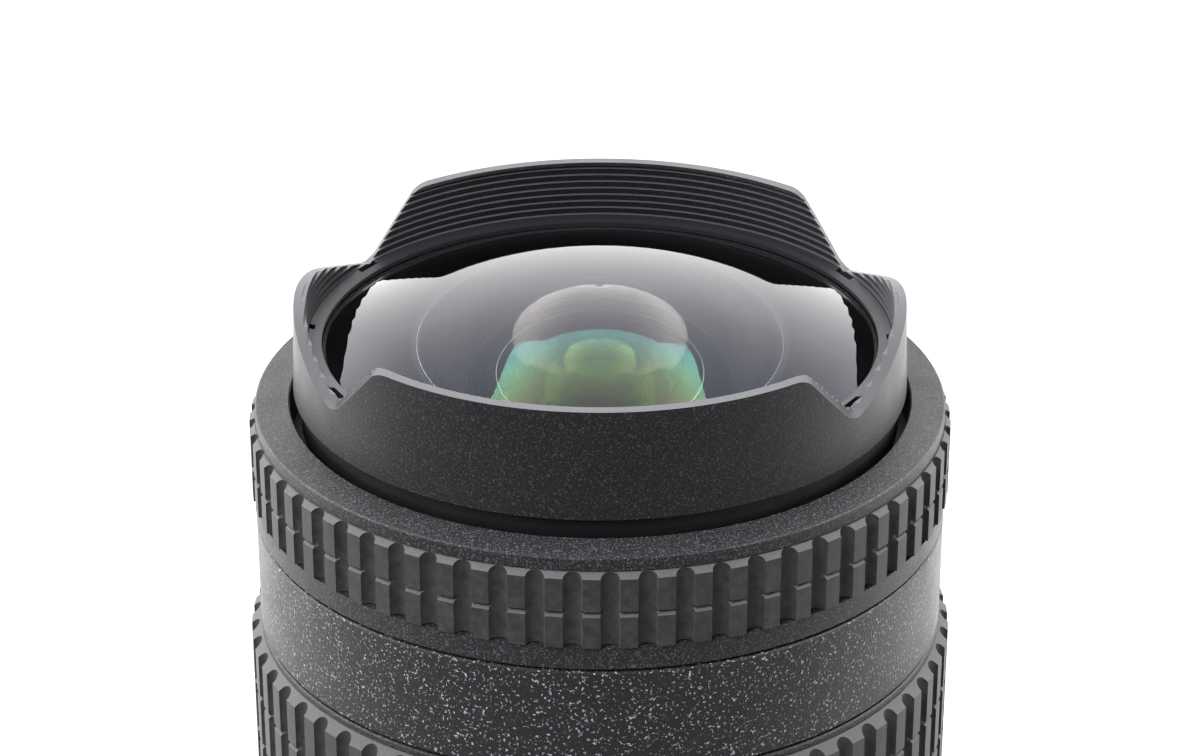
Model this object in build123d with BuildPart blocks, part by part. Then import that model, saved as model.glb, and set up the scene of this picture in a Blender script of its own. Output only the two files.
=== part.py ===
from build123d import *
from math import cos, degrees, pi, radians, sin, sqrt, tan
import os

# A fisheye zoom lens for a single-lens reflex camera, in millimetres.
# The origin is the centre of the mount's flange face and +Z runs along the optical axis to the front.
# An azimuth is counted from +X towards +Y. The hood's two long petals stand at 90 and 270 degrees.

# Fits and clearances
running_fit = 0.06  # radial play where one barrel turns or slides in another
seat_fit = 0.02  # play of a piece that is glued, pressed or clamped in its seat
seam_gap = 0.25  # open seam between two outer rings
roller_fit = 0.04  # play of a cam roller across its slot
overrun = 1.0  # how far a cutting shape runs past the face that it cuts
edge_break = 0.15  # small bevel on outer edges

# Radii that set the lens's width: the bore in which its groups slide, and the outside of the barrel
guide_bore_r = 22.4
barrel_reach = 11.6
barrel_r = guide_bore_r + barrel_reach

# Mount
flange_inset = 2.5
flange_r = barrel_r - flange_inset
flange_height = 2.2  # from the flange face to the seat of the rear barrel
register_width = 4.7
register_inner_r = flange_r - register_width
relief_depth = 0.3
bayonet_inset = 7.5
bayonet_r = flange_r - bayonet_inset
bayonet_depth = 6.0
bayonet_wall = 3.1
throat_r = bayonet_r - bayonet_wall
lug_reach = 2.2
lug_height = 1.4
lug_setback = 3.4  # from the flange face to the lugs
lug_span = 56
lug_azimuths = (20, 140, 260)
mount_screw_inset = 2.5
mount_screw_ring_r = flange_r - mount_screw_inset
mount_screw_azimuths = (45, 135, 225, 315)
mount_screw_r = 0.95
mount_screw_head_r = 1.95
mount_screw_length = 14.0
lock_hole_r = 1.2
lock_hole_depth = 1.2
lock_hole_azimuth = 0

# Outer rings, stacked from the mount to the front
rear_barrel_height = 11.8
zoom_ring_height = 21.5
barrel_height = 10.9
focus_lip_height = 2.3
focus_grip_height = 7.85
rim_height = 1.3

rear_foot_z = flange_height
rear_top_z = rear_foot_z + rear_barrel_height
zoom_foot_z = rear_top_z + seam_gap
zoom_top_z = zoom_foot_z + zoom_ring_height
barrel_foot_z = zoom_top_z + seam_gap
barrel_top_z = barrel_foot_z + barrel_height
focus_foot_z = barrel_top_z + seam_gap
focus_grip_foot_z = focus_foot_z + focus_lip_height
focus_grip_top_z = focus_grip_foot_z + focus_grip_height
shoulder_z = focus_grip_top_z + rim_height

# Guide barrel, fixed, with the straight slots that keep the lens groups from turning
guide_wall = 1.0
guide_r = guide_bore_r + guide_wall
guide_foot_z = 4.0
guide_foot_height = 1.2
guide_foot_reach = 3.1
guide_foot_r = guide_r + guide_foot_reach
guide_drop = 2.6  # from the shoulder down to the guide barrel's front end
guide_top_z = shoulder_z - guide_drop
guide_screw_r = 0.7
guide_screw_head_r = 1.05
guide_screw_reach = 1.7
guide_screw_ring_r = guide_r + guide_screw_reach
guide_screw_length = 2.6
guide_screw_azimuths = (30, 150, 270)
slider_r = guide_bore_r - running_fit
track_azimuths = (90, 210, 330)
roller_r = 1.2
roller_stub_r = 0.6
roller_stub_length = 1.3
slot_half_width = roller_r + roller_fit

# Cam barrel that the zoom ring turns, and cam sleeve that the focus ring turns
cam_bore_r = guide_r + running_fit
cam_wall = 1.15
cam_r = cam_bore_r + cam_wall
cam_end_gap = 0.25
zoom_turn = 60
focus_turn = 90
middle_travel = 7.0
rear_travel = 3.5
front_travel = 1.8
roller_end_r = cam_r - seat_fit

# Outer barrel
barrel_wall = 1.6
barrel_floor = 1.4
sleeve_inset = 2.4
sleeve_r = barrel_r - sleeve_inset
sleeve_wall = 1.2
sleeve_foot_z = 10.6
bearing_wall = 1.15
bearing_inset = 2.9
bearing_r = barrel_r - bearing_inset
bearing_drop = 6.0  # from the shoulder down to the bearing's front end
web_height = 2.2
web_drop = 14.6  # from the shoulder down to the web's front face
web_top_z = shoulder_z - web_drop
web_foot_z = web_top_z - web_height
bearing_top_z = shoulder_z - bearing_drop
boss_r = 1.9
boss_height = 4.4

# Rear barrel
rear_barrel_step = 0.3
rear_barrel_foot_r = flange_r + rear_barrel_step
rear_barrel_slope_height = 7.3
rear_barrel_floor = 1.8
rear_opening_inset = 0.3
rear_opening_r = throat_r - rear_opening_inset
rear_wall_inner_r = sleeve_r - sleeve_wall
column_r = 1.8
column_foot_r = 2.2
board_z = 6.2
board_thickness = 0.8
board_width = 5.1
board_inner_r = rear_wall_inner_r - board_width
board_edge_gap = 0.2
board_gap_azimuth = 250
board_gap_span = 40
chip_azimuths = (5, 90, 180, 330)
chip_widths = (6.0, 4.0, 5.0, 3.0)
chip_depth = 3.2
chip_height = 1.1

# Zoom ring and its grip
zoom_band_step = 0.4
zoom_band_r = barrel_r + zoom_band_step
zoom_band_height = 4.3
zoom_seat_inset = 0.6
zoom_grip_seat_r = barrel_r - zoom_seat_inset
zoom_collar_r = barrel_r
zoom_collar_height = 0.6
zoom_grip_step = 1
zoom_grip_r = barrel_r + zoom_grip_step
zoom_grip_bevel = 0.9
key_width = 3.0
key_height = 2.6
key_z = 20.4
key_azimuths = (30, 210)

# Focus ring and its grip
rim_inset = 0.3
rim_r = barrel_r - rim_inset
rim_rise = 0.27
shoulder_width = 3.4
opening_r = rim_r - shoulder_width
focus_lip_r = barrel_r
focus_seat_inset = 1.4
focus_grip_seat_r = barrel_r - focus_seat_inset
focus_grip_step = 0.3
focus_grip_r = barrel_r + focus_grip_step
focus_grip_bevel = 0.43
focus_grip_bevel_width = 0.5
focus_grip_bevel_r = focus_grip_r - focus_grip_bevel_width
focus_flange_drop = 4.2  # from the shoulder down to the inner flange's front face
focus_flange_height = 1.2
focus_flange_gap = 0.49
focus_flange_r = cam_r + focus_flange_gap
block_count = 63
block_step = 360 / block_count
first_block_azimuth = -89.1
first_flute_azimuth = first_block_azimuth + block_step / 2
flute_r = 0.9
flute_arch_drop = 0.7
groove_depth = 0.5
groove_height = 0.38
groove_bevel = 0.2
grip_gap = 0.15  # dark line over and under a grip
focus_grip_rows = 2
zoom_grip_rows = 3

focus_flange_top_z = shoulder_z - focus_flange_drop
focus_flange_foot_z = focus_flange_top_z - focus_flange_height
sleeve_flange_height = 1.0
sleeve_flange_inset = 1.7
sleeve_flange_r = bearing_r - sleeve_flange_inset
cam_screw_inset = 2
cam_screw_ring_r = sleeve_flange_r - cam_screw_inset
cam_screw_r = 0.8
cam_screw_head_r = 1.4
cam_screw_head_height = 0.8
cam_screw_azimuths = (0, 120, 240)

# Focus drive: a toothed sector on the cam sleeve and the pinion of the motor
gear_module = 0.5
sector_lift = 0.89  # from the cam sleeve out to the pitch circle
sector_teeth_per_turn = round(2 * (cam_r + sector_lift) / gear_module)
pinion_teeth_count = 10
tooth_height_share = 0.9  # of the module, above the pitch circle
tooth_depth_share = 1.1
tooth_width_share = 0.4  # of the pitch, at the pitch circle
tooth_flank = 20
gear_height = 1.6
gear_lift = 0.6  # from the web up to the toothed sector
sector_margin = 10
motor_azimuth = 45
motor_r = 2.25
motor_length = 12.0
motor_shaft_r = 0.5
motor_bearing_depth = 2.0
sector_pitch_r = gear_module * sector_teeth_per_turn / 2
pinion_pitch_r = gear_module * pinion_teeth_count / 2
motor_ring_r = sector_pitch_r + pinion_pitch_r
pinion_window_r = pinion_pitch_r + gear_module * tooth_height_share + seam_gap
gear_foot_z = web_top_z + gear_lift
gear_top_z = gear_foot_z + gear_height

# Focus mode switch, which slides round the outer barrel
switch_azimuth = 150
switch_turn = 4.5
switch_span = 5.0
switch_height = 2.8
switch_stand = 0.9
switch_r = barrel_r + switch_stand
switch_shoe_span = 9.0
switch_shoe_height = 3.6
switch_shoe_wall = 1.0
switch_plate_span = 15.0
switch_plate_height = 5.8
switch_plate_wall = 0.75
switch_plate_stand = 0.15
switch_groove_count = 3
switch_groove_span = 0.6
switch_groove_depth = 0.3

# Front group
hood_base_lift = 1.65  # from the shoulder up to the hood's lower edge
hood_height = 12.46  # from the shoulder up to the petal tips
hood_gap = 0.4
hood_base_r = opening_r - hood_gap
hood_taper = 0.4
hood_tip_r = hood_base_r - hood_taper
hood_wall = 1.1
hood_rib_depth = 0.45
hood_rib_pitch = 0.735
hood_rib_count = 8
hood_rib_drop = 0.7  # from the petal tips down to the first rib
petal_corner_r = 2.0
petal_foot_inset = 5.8
petal_foot_x = hood_base_r - petal_foot_inset
petal_slope_run = 4.5
petal_half_width = petal_foot_x - petal_slope_run
notch_lift = 6.0
notch_r = 2.0
side_slope = 20.3
side_peak_lift = 12.1  # where the two slopes of a side petal would meet
side_peak_inset = 3.9
side_peak_r = hood_base_r - side_peak_inset
side_notch_r = 6.0

front_neck_wall = 0.95
front_collar_inset = 0.7
front_collar_r = hood_base_r - front_collar_inset
front_collar_drop = 2.0  # from the shoulder down to the collar's lower face
front_floor = 1.3
front_tube_drop = 16.1  # from the shoulder down to the tube's rear end
front_tube_wall = 4.34
front_cell_r = slider_r - front_tube_wall
front_roller_drop = 10.0
front_ring_width = 2.9
front_ring_inner_r = hood_base_r - front_ring_width
front_ring_lift = 6.25  # from the shoulder up to the ring's inner edge
front_ring_slope = 0.35
front_ring_lip = 0.4
ring_slot_width = 1.0
ring_slot_depth = 0.55
ring_slot_azimuths = (0, 180)
long_slot_width = 2.7
long_slot_azimuths = (31, 149, 211, 329)

# Front group glass, each with its edge and how far its faces bow out or hollow in
first_glass_overlap = 0.35
first_glass_r = front_ring_inner_r + first_glass_overlap
first_glass_edge = 6.3
first_glass_bow = 6.28
first_glass_hollow_r = 16.0
first_glass_hollow = 10.4
second_glass_gap = 0.7  # from the barrel's floor down to the second element's edge
second_glass_edge = 4.3
second_glass_bow = 3.3
second_glass_land = 0.78  # flat rim outside the polished face
second_glass_clear_r = front_cell_r - seat_fit - second_glass_land
second_seat_play = 0.05
second_seat_r = second_glass_clear_r + second_seat_play
floor_lip_width = 0.75
floor_opening_r = second_seat_r - floor_lip_width
second_glass_hollow_inset = 5.2
second_glass_hollow_r = second_glass_clear_r - second_glass_hollow_inset
second_glass_hollow = 6.36
third_cell_lip = 1.7
third_cell_wall = 3.96
third_glass_r = front_cell_r - third_cell_wall - 2 * seat_fit
third_cell_lip_width = 0.9
third_cell_lip_r = third_glass_r - third_cell_lip_width
third_glass_edge = 5.4
third_glass_land = 1.0
third_glass_front_hollow_r = third_glass_r - third_glass_land
third_glass_front_hollow = 1.0
third_glass_rear_hollow = 2.9
fourth_glass_inset = 3.0
fourth_glass_r = third_glass_r - fourth_glass_inset
fourth_glass_edge = 0.8
fourth_glass_bow = 1.5
front_lock_height = 1.1
front_lock_gap = 0.3

# Middle group
middle_foot_z = 19.4
middle_height = 10.6
middle_wall = 1.74
middle_web_height = 1.2
middle_cell_r = 10.2
middle_cell_wall = 1.4
middle_cell_top_z = 33.5
middle_lip_r = 9.2
middle_lip_height = 0.9
middle_roller_z = 27.0
sixth_glass_edge = 2.0
sixth_glass_bow = 1.2
sixth_glass_rear_bow = 0.5
middle_spacer_height = 2.4
fifth_glass_edge = 2.2
fifth_glass_bow = 1.5
fifth_glass_rear_hollow = 0.5
middle_lock_height = 1.4

# Iris
iris_rim_inset = 2.34
iris_rim_r = slider_r - iris_rim_inset
iris_rim_wall = 0.5
iris_floor = 1.0
blade_count = 6
blade_thickness = 0.12
blade_pitch = 0.2  # from one blade's level to the next
blade_room = 0.2  # free height over and under the blades
blade_outer_inset = 6
blade_outer_r = iris_rim_r - blade_outer_inset
blade_width = 5.1
blade_inner_r = blade_outer_r - blade_width
iris_opening_step = 0.4
iris_opening_r = blade_inner_r - iris_opening_step
blade_root_azimuth = 12
blade_tip_azimuth = 122
blade_pivot_inset = 3
blade_pivot_ring_r = iris_rim_r - blade_pivot_inset
blade_pivot_lobe_r = 1.5
blade_pin_inset = 3.4
blade_pin_ring_r = iris_rim_r - blade_pin_inset
blade_pin_azimuth = 17
blade_pin_lobe_r = 1.25
blade_pin_r = 0.6
blade_pin_fit = 0.05
iris_turn = 24
blade_turn_share = 1.05  # blade turn for each degree of the iris ring's turn
iris_ring_height = 1.0
iris_ring_step = 1.3
iris_ring_inner_r = iris_opening_r + iris_ring_step
iris_cover_height = 0.7
iris_cover_gap = 0.2
fork_azimuth = 130
fork_play = 0.1
fork_outer_r = iris_rim_r - fork_play
fork_depth = 1.5
fork_inner_r = fork_outer_r - fork_depth
fork_length = 8.5
fork_prong = 1.1
fork_slot_span = 16
cover_slot_margin = 0.3

# Rear group
rear_group_foot_z = 1.6
rear_group_top_z = 17.2
rear_cell_r = 13.0
rear_cell_wall = 2.6
rear_lip_height = 1.0
rear_lip_r = 11.6
rear_arm_span = 16
rear_arm_foot_z = 8.0
rear_arm_top_z = 13.5
rear_roller_z = 11.0
rear_glass_land = 1.5
seventh_glass_edge = 1.8
seventh_glass_bow = 1.4
seventh_glass_hollow = 2.1
eighth_glass_edge = 2.4
eighth_glass_bow = 1.0
rear_spacer_height = 2.6
ninth_glass_edge = 1.8
ninth_glass_bow = 1.2
ninth_glass_rear_bow = 0.6
rear_spacer_2_height = 1.4
tenth_glass_edge = 2.6
tenth_glass_hollow = 0.6
tenth_glass_bow = 0.9
rear_lock_height = 1.4
spacer_wall = 1.0

# Stop-down ring, with the lever in the throat and the rod that turns the iris
stop_ring_foot_z = 0.5
stop_ring_height = 1.4
stop_ring_inset = 2.7
stop_ring_inner_r = throat_r - stop_ring_inset
stop_ring_recess = 0.36
stop_ring_seat_r = throat_r + stop_ring_recess
rod_r = 0.7
rod_inset = 1.7
rod_ring_r = throat_r - rod_inset
rod_top_z = 19.9
lever_azimuth = 78
lever_span = 9
lever_inner_inset = 2.4
lever_inner_r = throat_r - lever_inner_inset
lever_outer_inset = 1
lever_outer_r = throat_r - lever_outer_inset
lever_end_z = -5.2
lever_play = 0.3

# Rear baffle and contacts
baffle_seat_z = -0.8
baffle_thickness = 1.1
baffle_window_width = 24.0
baffle_window_height = 18.0
baffle_window_corner = 3.0
baffle_rim_wall = 1.0
baffle_rim_depth = 4.0
contact_azimuth = 270
contact_span = 56
contact_inset = 3.7
contact_inner_r = throat_r - contact_inset
contact_depth = 4.3
contact_count = 8
contact_pin_inset = 1.8
contact_ring_r = throat_r - contact_pin_inset
contact_pin_r = 0.5
contact_pin_length = 1.4
contact_pin_stand = 0.25
contact_pitch = 6.2


def ring(inner, outer, low, high, mode=Mode.ADD):
    """A ring between two heights, or a disc where inner is 0."""
    with BuildSketch(Plane.XY.offset(low)) as section:
        Circle(outer)
        if inner:
            Circle(inner, mode=Mode.SUBTRACT)
    extrude(section.sketch, amount=high - low, mode=mode)


def turned(*outline, mode=Mode.ADD):
    """A closed outline of (radius, height) points, turned about the optical axis."""
    with BuildSketch(Plane.XZ) as section:
        with BuildLine():
            Polyline(*outline, close=True)
        make_face()
    revolve(section.sketch, axis=Axis.Z, mode=mode)


def sector(inner, outer, azimuth, span, low, high, mode=Mode.ADD):
    """A piece of a ring, centred on an azimuth."""
    with BuildSketch(Plane.XY.offset(low)) as section:
        with BuildLine():
            far = CenterArc((0, 0), outer, azimuth - span / 2, span)
            near = CenterArc((0, 0), inner, azimuth - span / 2, span)
            Line(far @ 0, near @ 0)
            Line(far @ 1, near @ 1)
        make_face()
    extrude(section.sketch, amount=high - low, mode=mode)


def polar(radius, azimuth):
    """The x and y of a point at a radius and an azimuth."""
    return radius * cos(radians(azimuth)), radius * sin(radians(azimuth))


def facing(azimuth, radius=0, height=0):
    """The plane that looks outwards at an azimuth: its x runs round the lens and its y runs up."""
    ahead = polar(1, azimuth)
    x, y = polar(radius, azimuth)
    return Plane(origin=(x, y, height), x_dir=(-ahead[1], ahead[0], 0), z_dir=(ahead[0], ahead[1], 0))


def upright_rods(azimuths, ring_radius, radius, low, high, mode=Mode.ADD):
    """Round rods or holes that run along the optical axis."""
    with BuildSketch(Plane.XY.offset(low)) as section:
        with Locations(*[polar(ring_radius, azimuth) for azimuth in azimuths]):
            Circle(radius)
    extrude(section.sketch, amount=high - low, mode=mode)


def cross_rods(azimuths, height, radius, start, end, mode=Mode.ADD):
    """Round rods or holes that point at the optical axis, from one radius to another."""
    for azimuth in azimuths:
        with BuildSketch(facing(azimuth, start, height)) as section:
            Circle(radius)
        extrude(section.sketch, amount=end - start, mode=mode)


def sunk_heads(azimuths, ring_radius, radius, head_radius, face_z, up, mode):
    """Countersunk heads or sinks whose flat lies at face_z and whose cone runs up (1) or down (-1)."""
    for azimuth in azimuths:
        x, y = polar(ring_radius, azimuth)
        depth = head_radius - radius
        low = face_z if up > 0 else face_z - depth
        wide, narrow = (head_radius, radius) if up > 0 else (radius, head_radius)
        with BuildSketch(Plane((x, y, low))) as lower:
            Circle(wide)
        with BuildSketch(Plane((x, y, low + depth))) as upper:
            Circle(narrow)
        loft([lower.sketch, upper.sketch], mode=mode)


def straight_tracks(low, travel):
    """Cuts the three straight slots of one lens group in the guide barrel."""
    for azimuth in track_azimuths:
        with BuildSketch(facing(azimuth, guide_bore_r - overrun, low + travel / 2)) as section:
            SlotCenterToCenter(travel, 2 * slot_half_width, rotation=90)
        extrude(section.sketch, amount=guide_wall + 2 * overrun, mode=Mode.SUBTRACT)


def helical_tracks(low, travel, turn):
    """Cuts three slots round a cam barrel, in which rollers rise by travel over the turn."""
    middle_r = cam_bore_r + cam_wall / 2
    for azimuth in track_azimuths:
        path = Helix(
            pitch=travel * 360 / turn, height=travel, radius=middle_r, lefthand=True, mode=Mode.PRIVATE
        )
        path = path.rotate(Axis.Z, azimuth).translate((0, 0, low))
        with BuildSketch(Plane(path @ 0, x_dir=Vector(*polar(1, azimuth), 0), z_dir=path % 0)) as section:
            Rectangle(cam_wall + overrun, 2 * slot_half_width)
        sweep(section.sketch, path=path, is_frenet=True, mode=Mode.SUBTRACT)
    for share in (0, 1):
        ends = [azimuth - turn * share for azimuth in track_azimuths]
        cross_rods(
            ends,
            low + travel * share,
            slot_half_width,
            cam_bore_r - overrun / 2,
            cam_r + overrun / 2,
            Mode.SUBTRACT,
        )


def rollers(height, start):
    """The three cam rollers of a lens group: a stub in the barrel's wall and a roller outside it."""
    cross_rods(
        track_azimuths, height, roller_stub_r - seat_fit, start - roller_stub_length, start + overrun
    )
    cross_rods(track_azimuths, height, roller_r, start + seat_fit, roller_end_r)


def arc_points(clear_radius, height, bow):
    """Three points of a glass face from its rim to the optical axis, bowed up by bow, or down."""
    curve = (clear_radius**2 + bow**2) / (2 * abs(bow))
    half = clear_radius / 2
    lift = sqrt(curve**2 - half**2) - (curve - abs(bow))
    return (clear_radius, height), (half, height + (lift if bow > 0 else -lift)), (0, height + bow)


def glass(radius, front_z, edge, front_clear, front_bow, rear_clear, rear_bow):
    """A lens element. A positive bow lifts the middle of a face towards the front."""
    front = arc_points(front_clear, front_z, front_bow)
    rear = arc_points(rear_clear, front_z - edge, rear_bow)
    with BuildSketch(Plane.XZ) as section:
        with BuildLine():
            ThreePointArc(*front)
            Line(front[-1], rear[-1])
            ThreePointArc(*rear[::-1])
            if rear_clear < radius:
                Line(rear[0], (radius, front_z - edge))
            Line((radius, front_z - edge), (radius, front_z))
            if front_clear < radius:
                Line((radius, front_z), front[0])
        make_face()
    revolve(section.sketch, axis=Axis.Z)


def ball_ended_flute(azimuth, outer_r, low, high):
    """The rod with a ball on top that cuts one flute into a grip."""
    arch_z = high - flute_arch_drop
    x, y = polar(outer_r, azimuth)
    with BuildPart() as flute:
        with BuildSketch(Plane.XY.offset(low - overrun)):
            with Locations((x, y)):
                Circle(flute_r)
        extrude(amount=arch_z - low + overrun)
        with Locations((x, y, arch_z)):
            Sphere(flute_r)
    return flute.part


def fluted_grip(seat_r, outer_r, bevel_r, low, high, bevel, rows, flute):
    """A rubber sleeve of upright blocks: round-ended flutes between them and grooves across them."""
    turned(
        (seat_r + seat_fit, low + grip_gap),
        (outer_r, low + grip_gap),
        (outer_r, high - grip_gap - bevel),
        (bevel_r, high - grip_gap),
        (seat_r + seat_fit, high - grip_gap),
    )
    add([flute.rotate(Axis.Z, number * block_step) for number in range(block_count)], mode=Mode.SUBTRACT)
    for row in range(1, rows):
        middle = high - (high - low) * row / rows
        turned(
            (outer_r - groove_depth, middle),
            (outer_r + overrun, middle),
            (outer_r + overrun, middle - groove_height - groove_bevel),
            (outer_r, middle - groove_height - groove_bevel),
            (outer_r - groove_bevel, middle - groove_height),
            (outer_r - groove_depth, middle - groove_height),
            mode=Mode.SUBTRACT,
        )


def tooth(azimuth, pitch_r):
    """The four corners of a spur gear's tooth that points at an azimuth."""
    tall, deep = gear_module * tooth_height_share, gear_module * tooth_depth_share
    half = pi * gear_module * tooth_width_share / 2
    lean = tan(radians(tooth_flank))
    ahead, aside = polar(1, azimuth), polar(1, azimuth + 90)
    corners = []
    for side, reach in ((-1, -deep - seat_fit), (-1, tall), (1, tall), (1, -deep - seat_fit)):
        out, across = pitch_r + reach, side * (half - reach * lean)
        corners.append((out * ahead[0] + across * aside[0], out * ahead[1] + across * aside[1]))
    return corners


# Mount ring, with three bayonet lugs behind the flange
with BuildPart() as mount_bayonet:
    turned(
        (stop_ring_seat_r, flange_height),
        (flange_r, flange_height),
        (flange_r, edge_break),
        (flange_r - edge_break, 0),
        (register_inner_r, 0),
        (register_inner_r, relief_depth),
        (bayonet_r, relief_depth),
        (bayonet_r, edge_break - bayonet_depth),
        (bayonet_r - edge_break, -bayonet_depth),
        (throat_r + edge_break, -bayonet_depth),
        (throat_r, edge_break - bayonet_depth),
        (throat_r, baffle_seat_z),
        (stop_ring_seat_r, baffle_seat_z),
    )
    for lug_azimuth in lug_azimuths:
        sector(
            bayonet_r - edge_break,
            bayonet_r + lug_reach,
            lug_azimuth,
            lug_span,
            -lug_setback - lug_height,
            -lug_setback,
        )
    upright_rods(
        mount_screw_azimuths,
        mount_screw_ring_r,
        mount_screw_r + seat_fit,
        -overrun,
        flange_height + overrun,
        Mode.SUBTRACT,
    )
    sunk_heads(
        mount_screw_azimuths,
        mount_screw_ring_r,
        mount_screw_r + seat_fit,
        mount_screw_head_r + seat_fit,
        0,
        1,
        Mode.SUBTRACT,
    )
    upright_rods(
        (lock_hole_azimuth,), mount_screw_ring_r, lock_hole_r, -overrun, lock_hole_depth, Mode.SUBTRACT
    )
mount_bayonet.part.label = "mount_bayonet"
export_step(mount_bayonet.part, "parts/mount_bayonet.step")

# Four countersunk screws that clamp the mount ring and the rear barrel to the outer barrel
with BuildPart() as mount_screws:
    sunk_heads(mount_screw_azimuths, mount_screw_ring_r, mount_screw_r, mount_screw_head_r, 0, 1, Mode.ADD)
    upright_rods(
        mount_screw_azimuths,
        mount_screw_ring_r,
        mount_screw_r,
        mount_screw_head_r - mount_screw_r,
        mount_screw_length,
    )
mount_screws.part.label = "mount_screws"
export_step(mount_screws.part, "parts/mount_screws.step")

# Rear barrel: a tapered cover with a floor and four columns for the mount screws
rear_floor_top_z = rear_foot_z + rear_barrel_floor
with BuildPart() as rear_barrel:
    turned(
        (rear_opening_r, rear_foot_z),
        (rear_barrel_foot_r - edge_break, rear_foot_z),
        (rear_barrel_foot_r, rear_foot_z + edge_break),
        (barrel_r, rear_foot_z + rear_barrel_slope_height),
        (barrel_r, rear_top_z - edge_break),
        (barrel_r - edge_break, rear_top_z),
        (sleeve_r + seat_fit, rear_top_z),
        (sleeve_r + seat_fit, sleeve_foot_z),
        (rear_wall_inner_r, sleeve_foot_z),
        (rear_wall_inner_r, rear_floor_top_z),
        (rear_opening_r, rear_floor_top_z),
    )
    upright_rods(mount_screw_azimuths, mount_screw_ring_r, column_r, rear_foot_z, sleeve_foot_z)
    upright_rods(mount_screw_azimuths, mount_screw_ring_r, column_foot_r, rear_foot_z, board_z)
    upright_rods(
        mount_screw_azimuths,
        mount_screw_ring_r,
        mount_screw_r + seat_fit,
        0,
        sleeve_foot_z + overrun,
        Mode.SUBTRACT,
    )
    upright_rods(
        guide_screw_azimuths,
        guide_screw_ring_r,
        guide_screw_r + seat_fit,
        0,
        rear_floor_top_z + overrun,
        Mode.SUBTRACT,
    )
rear_barrel.part.label = "rear_barrel"
export_step(rear_barrel.part, "parts/rear_barrel.step")

# Guide barrel, screwed to the rear barrel's floor
guide_foot_top_z = guide_foot_z + guide_foot_height
front_roller_z = shoulder_z - front_roller_drop
with BuildPart() as guide_barrel:
    ring(guide_bore_r, guide_r, guide_foot_z, guide_top_z)
    ring(guide_bore_r, guide_foot_r, guide_foot_z, guide_foot_top_z)
    straight_tracks(front_roller_z, front_travel)
    straight_tracks(middle_roller_z, middle_travel)
    straight_tracks(rear_roller_z, rear_travel)
    upright_rods(
        guide_screw_azimuths,
        guide_screw_ring_r,
        guide_screw_r + seat_fit,
        0,
        guide_foot_top_z + overrun,
        Mode.SUBTRACT,
    )
    sunk_heads(
        guide_screw_azimuths,
        guide_screw_ring_r,
        guide_screw_r + seat_fit,
        guide_screw_head_r + seat_fit,
        guide_foot_top_z,
        -1,
        Mode.SUBTRACT,
    )
guide_barrel.part.label = "guide_barrel"
export_step(guide_barrel.part, "parts/guide_barrel.step")

# Three small screws of the guide barrel
guide_head_foot_z = guide_foot_top_z - (guide_screw_head_r - guide_screw_r)
with BuildPart() as guide_screws:
    sunk_heads(
        guide_screw_azimuths,
        guide_screw_ring_r,
        guide_screw_r,
        guide_screw_head_r,
        guide_foot_top_z,
        -1,
        Mode.ADD,
    )
    upright_rods(
        guide_screw_azimuths,
        guide_screw_ring_r,
        guide_screw_r,
        guide_foot_top_z - guide_screw_length,
        guide_head_foot_z,
    )
guide_screws.part.label = "guide_screws"
export_step(guide_screws.part, "parts/guide_screws.step")

# Where the switch lies: half way up the pocket behind the outer barrel's wall
switch_z = (barrel_foot_z + barrel_floor + web_foot_z) / 2
switch_middle_azimuth = switch_azimuth + switch_turn / 2
switch_play = degrees(2 * running_fit / barrel_r)

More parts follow.
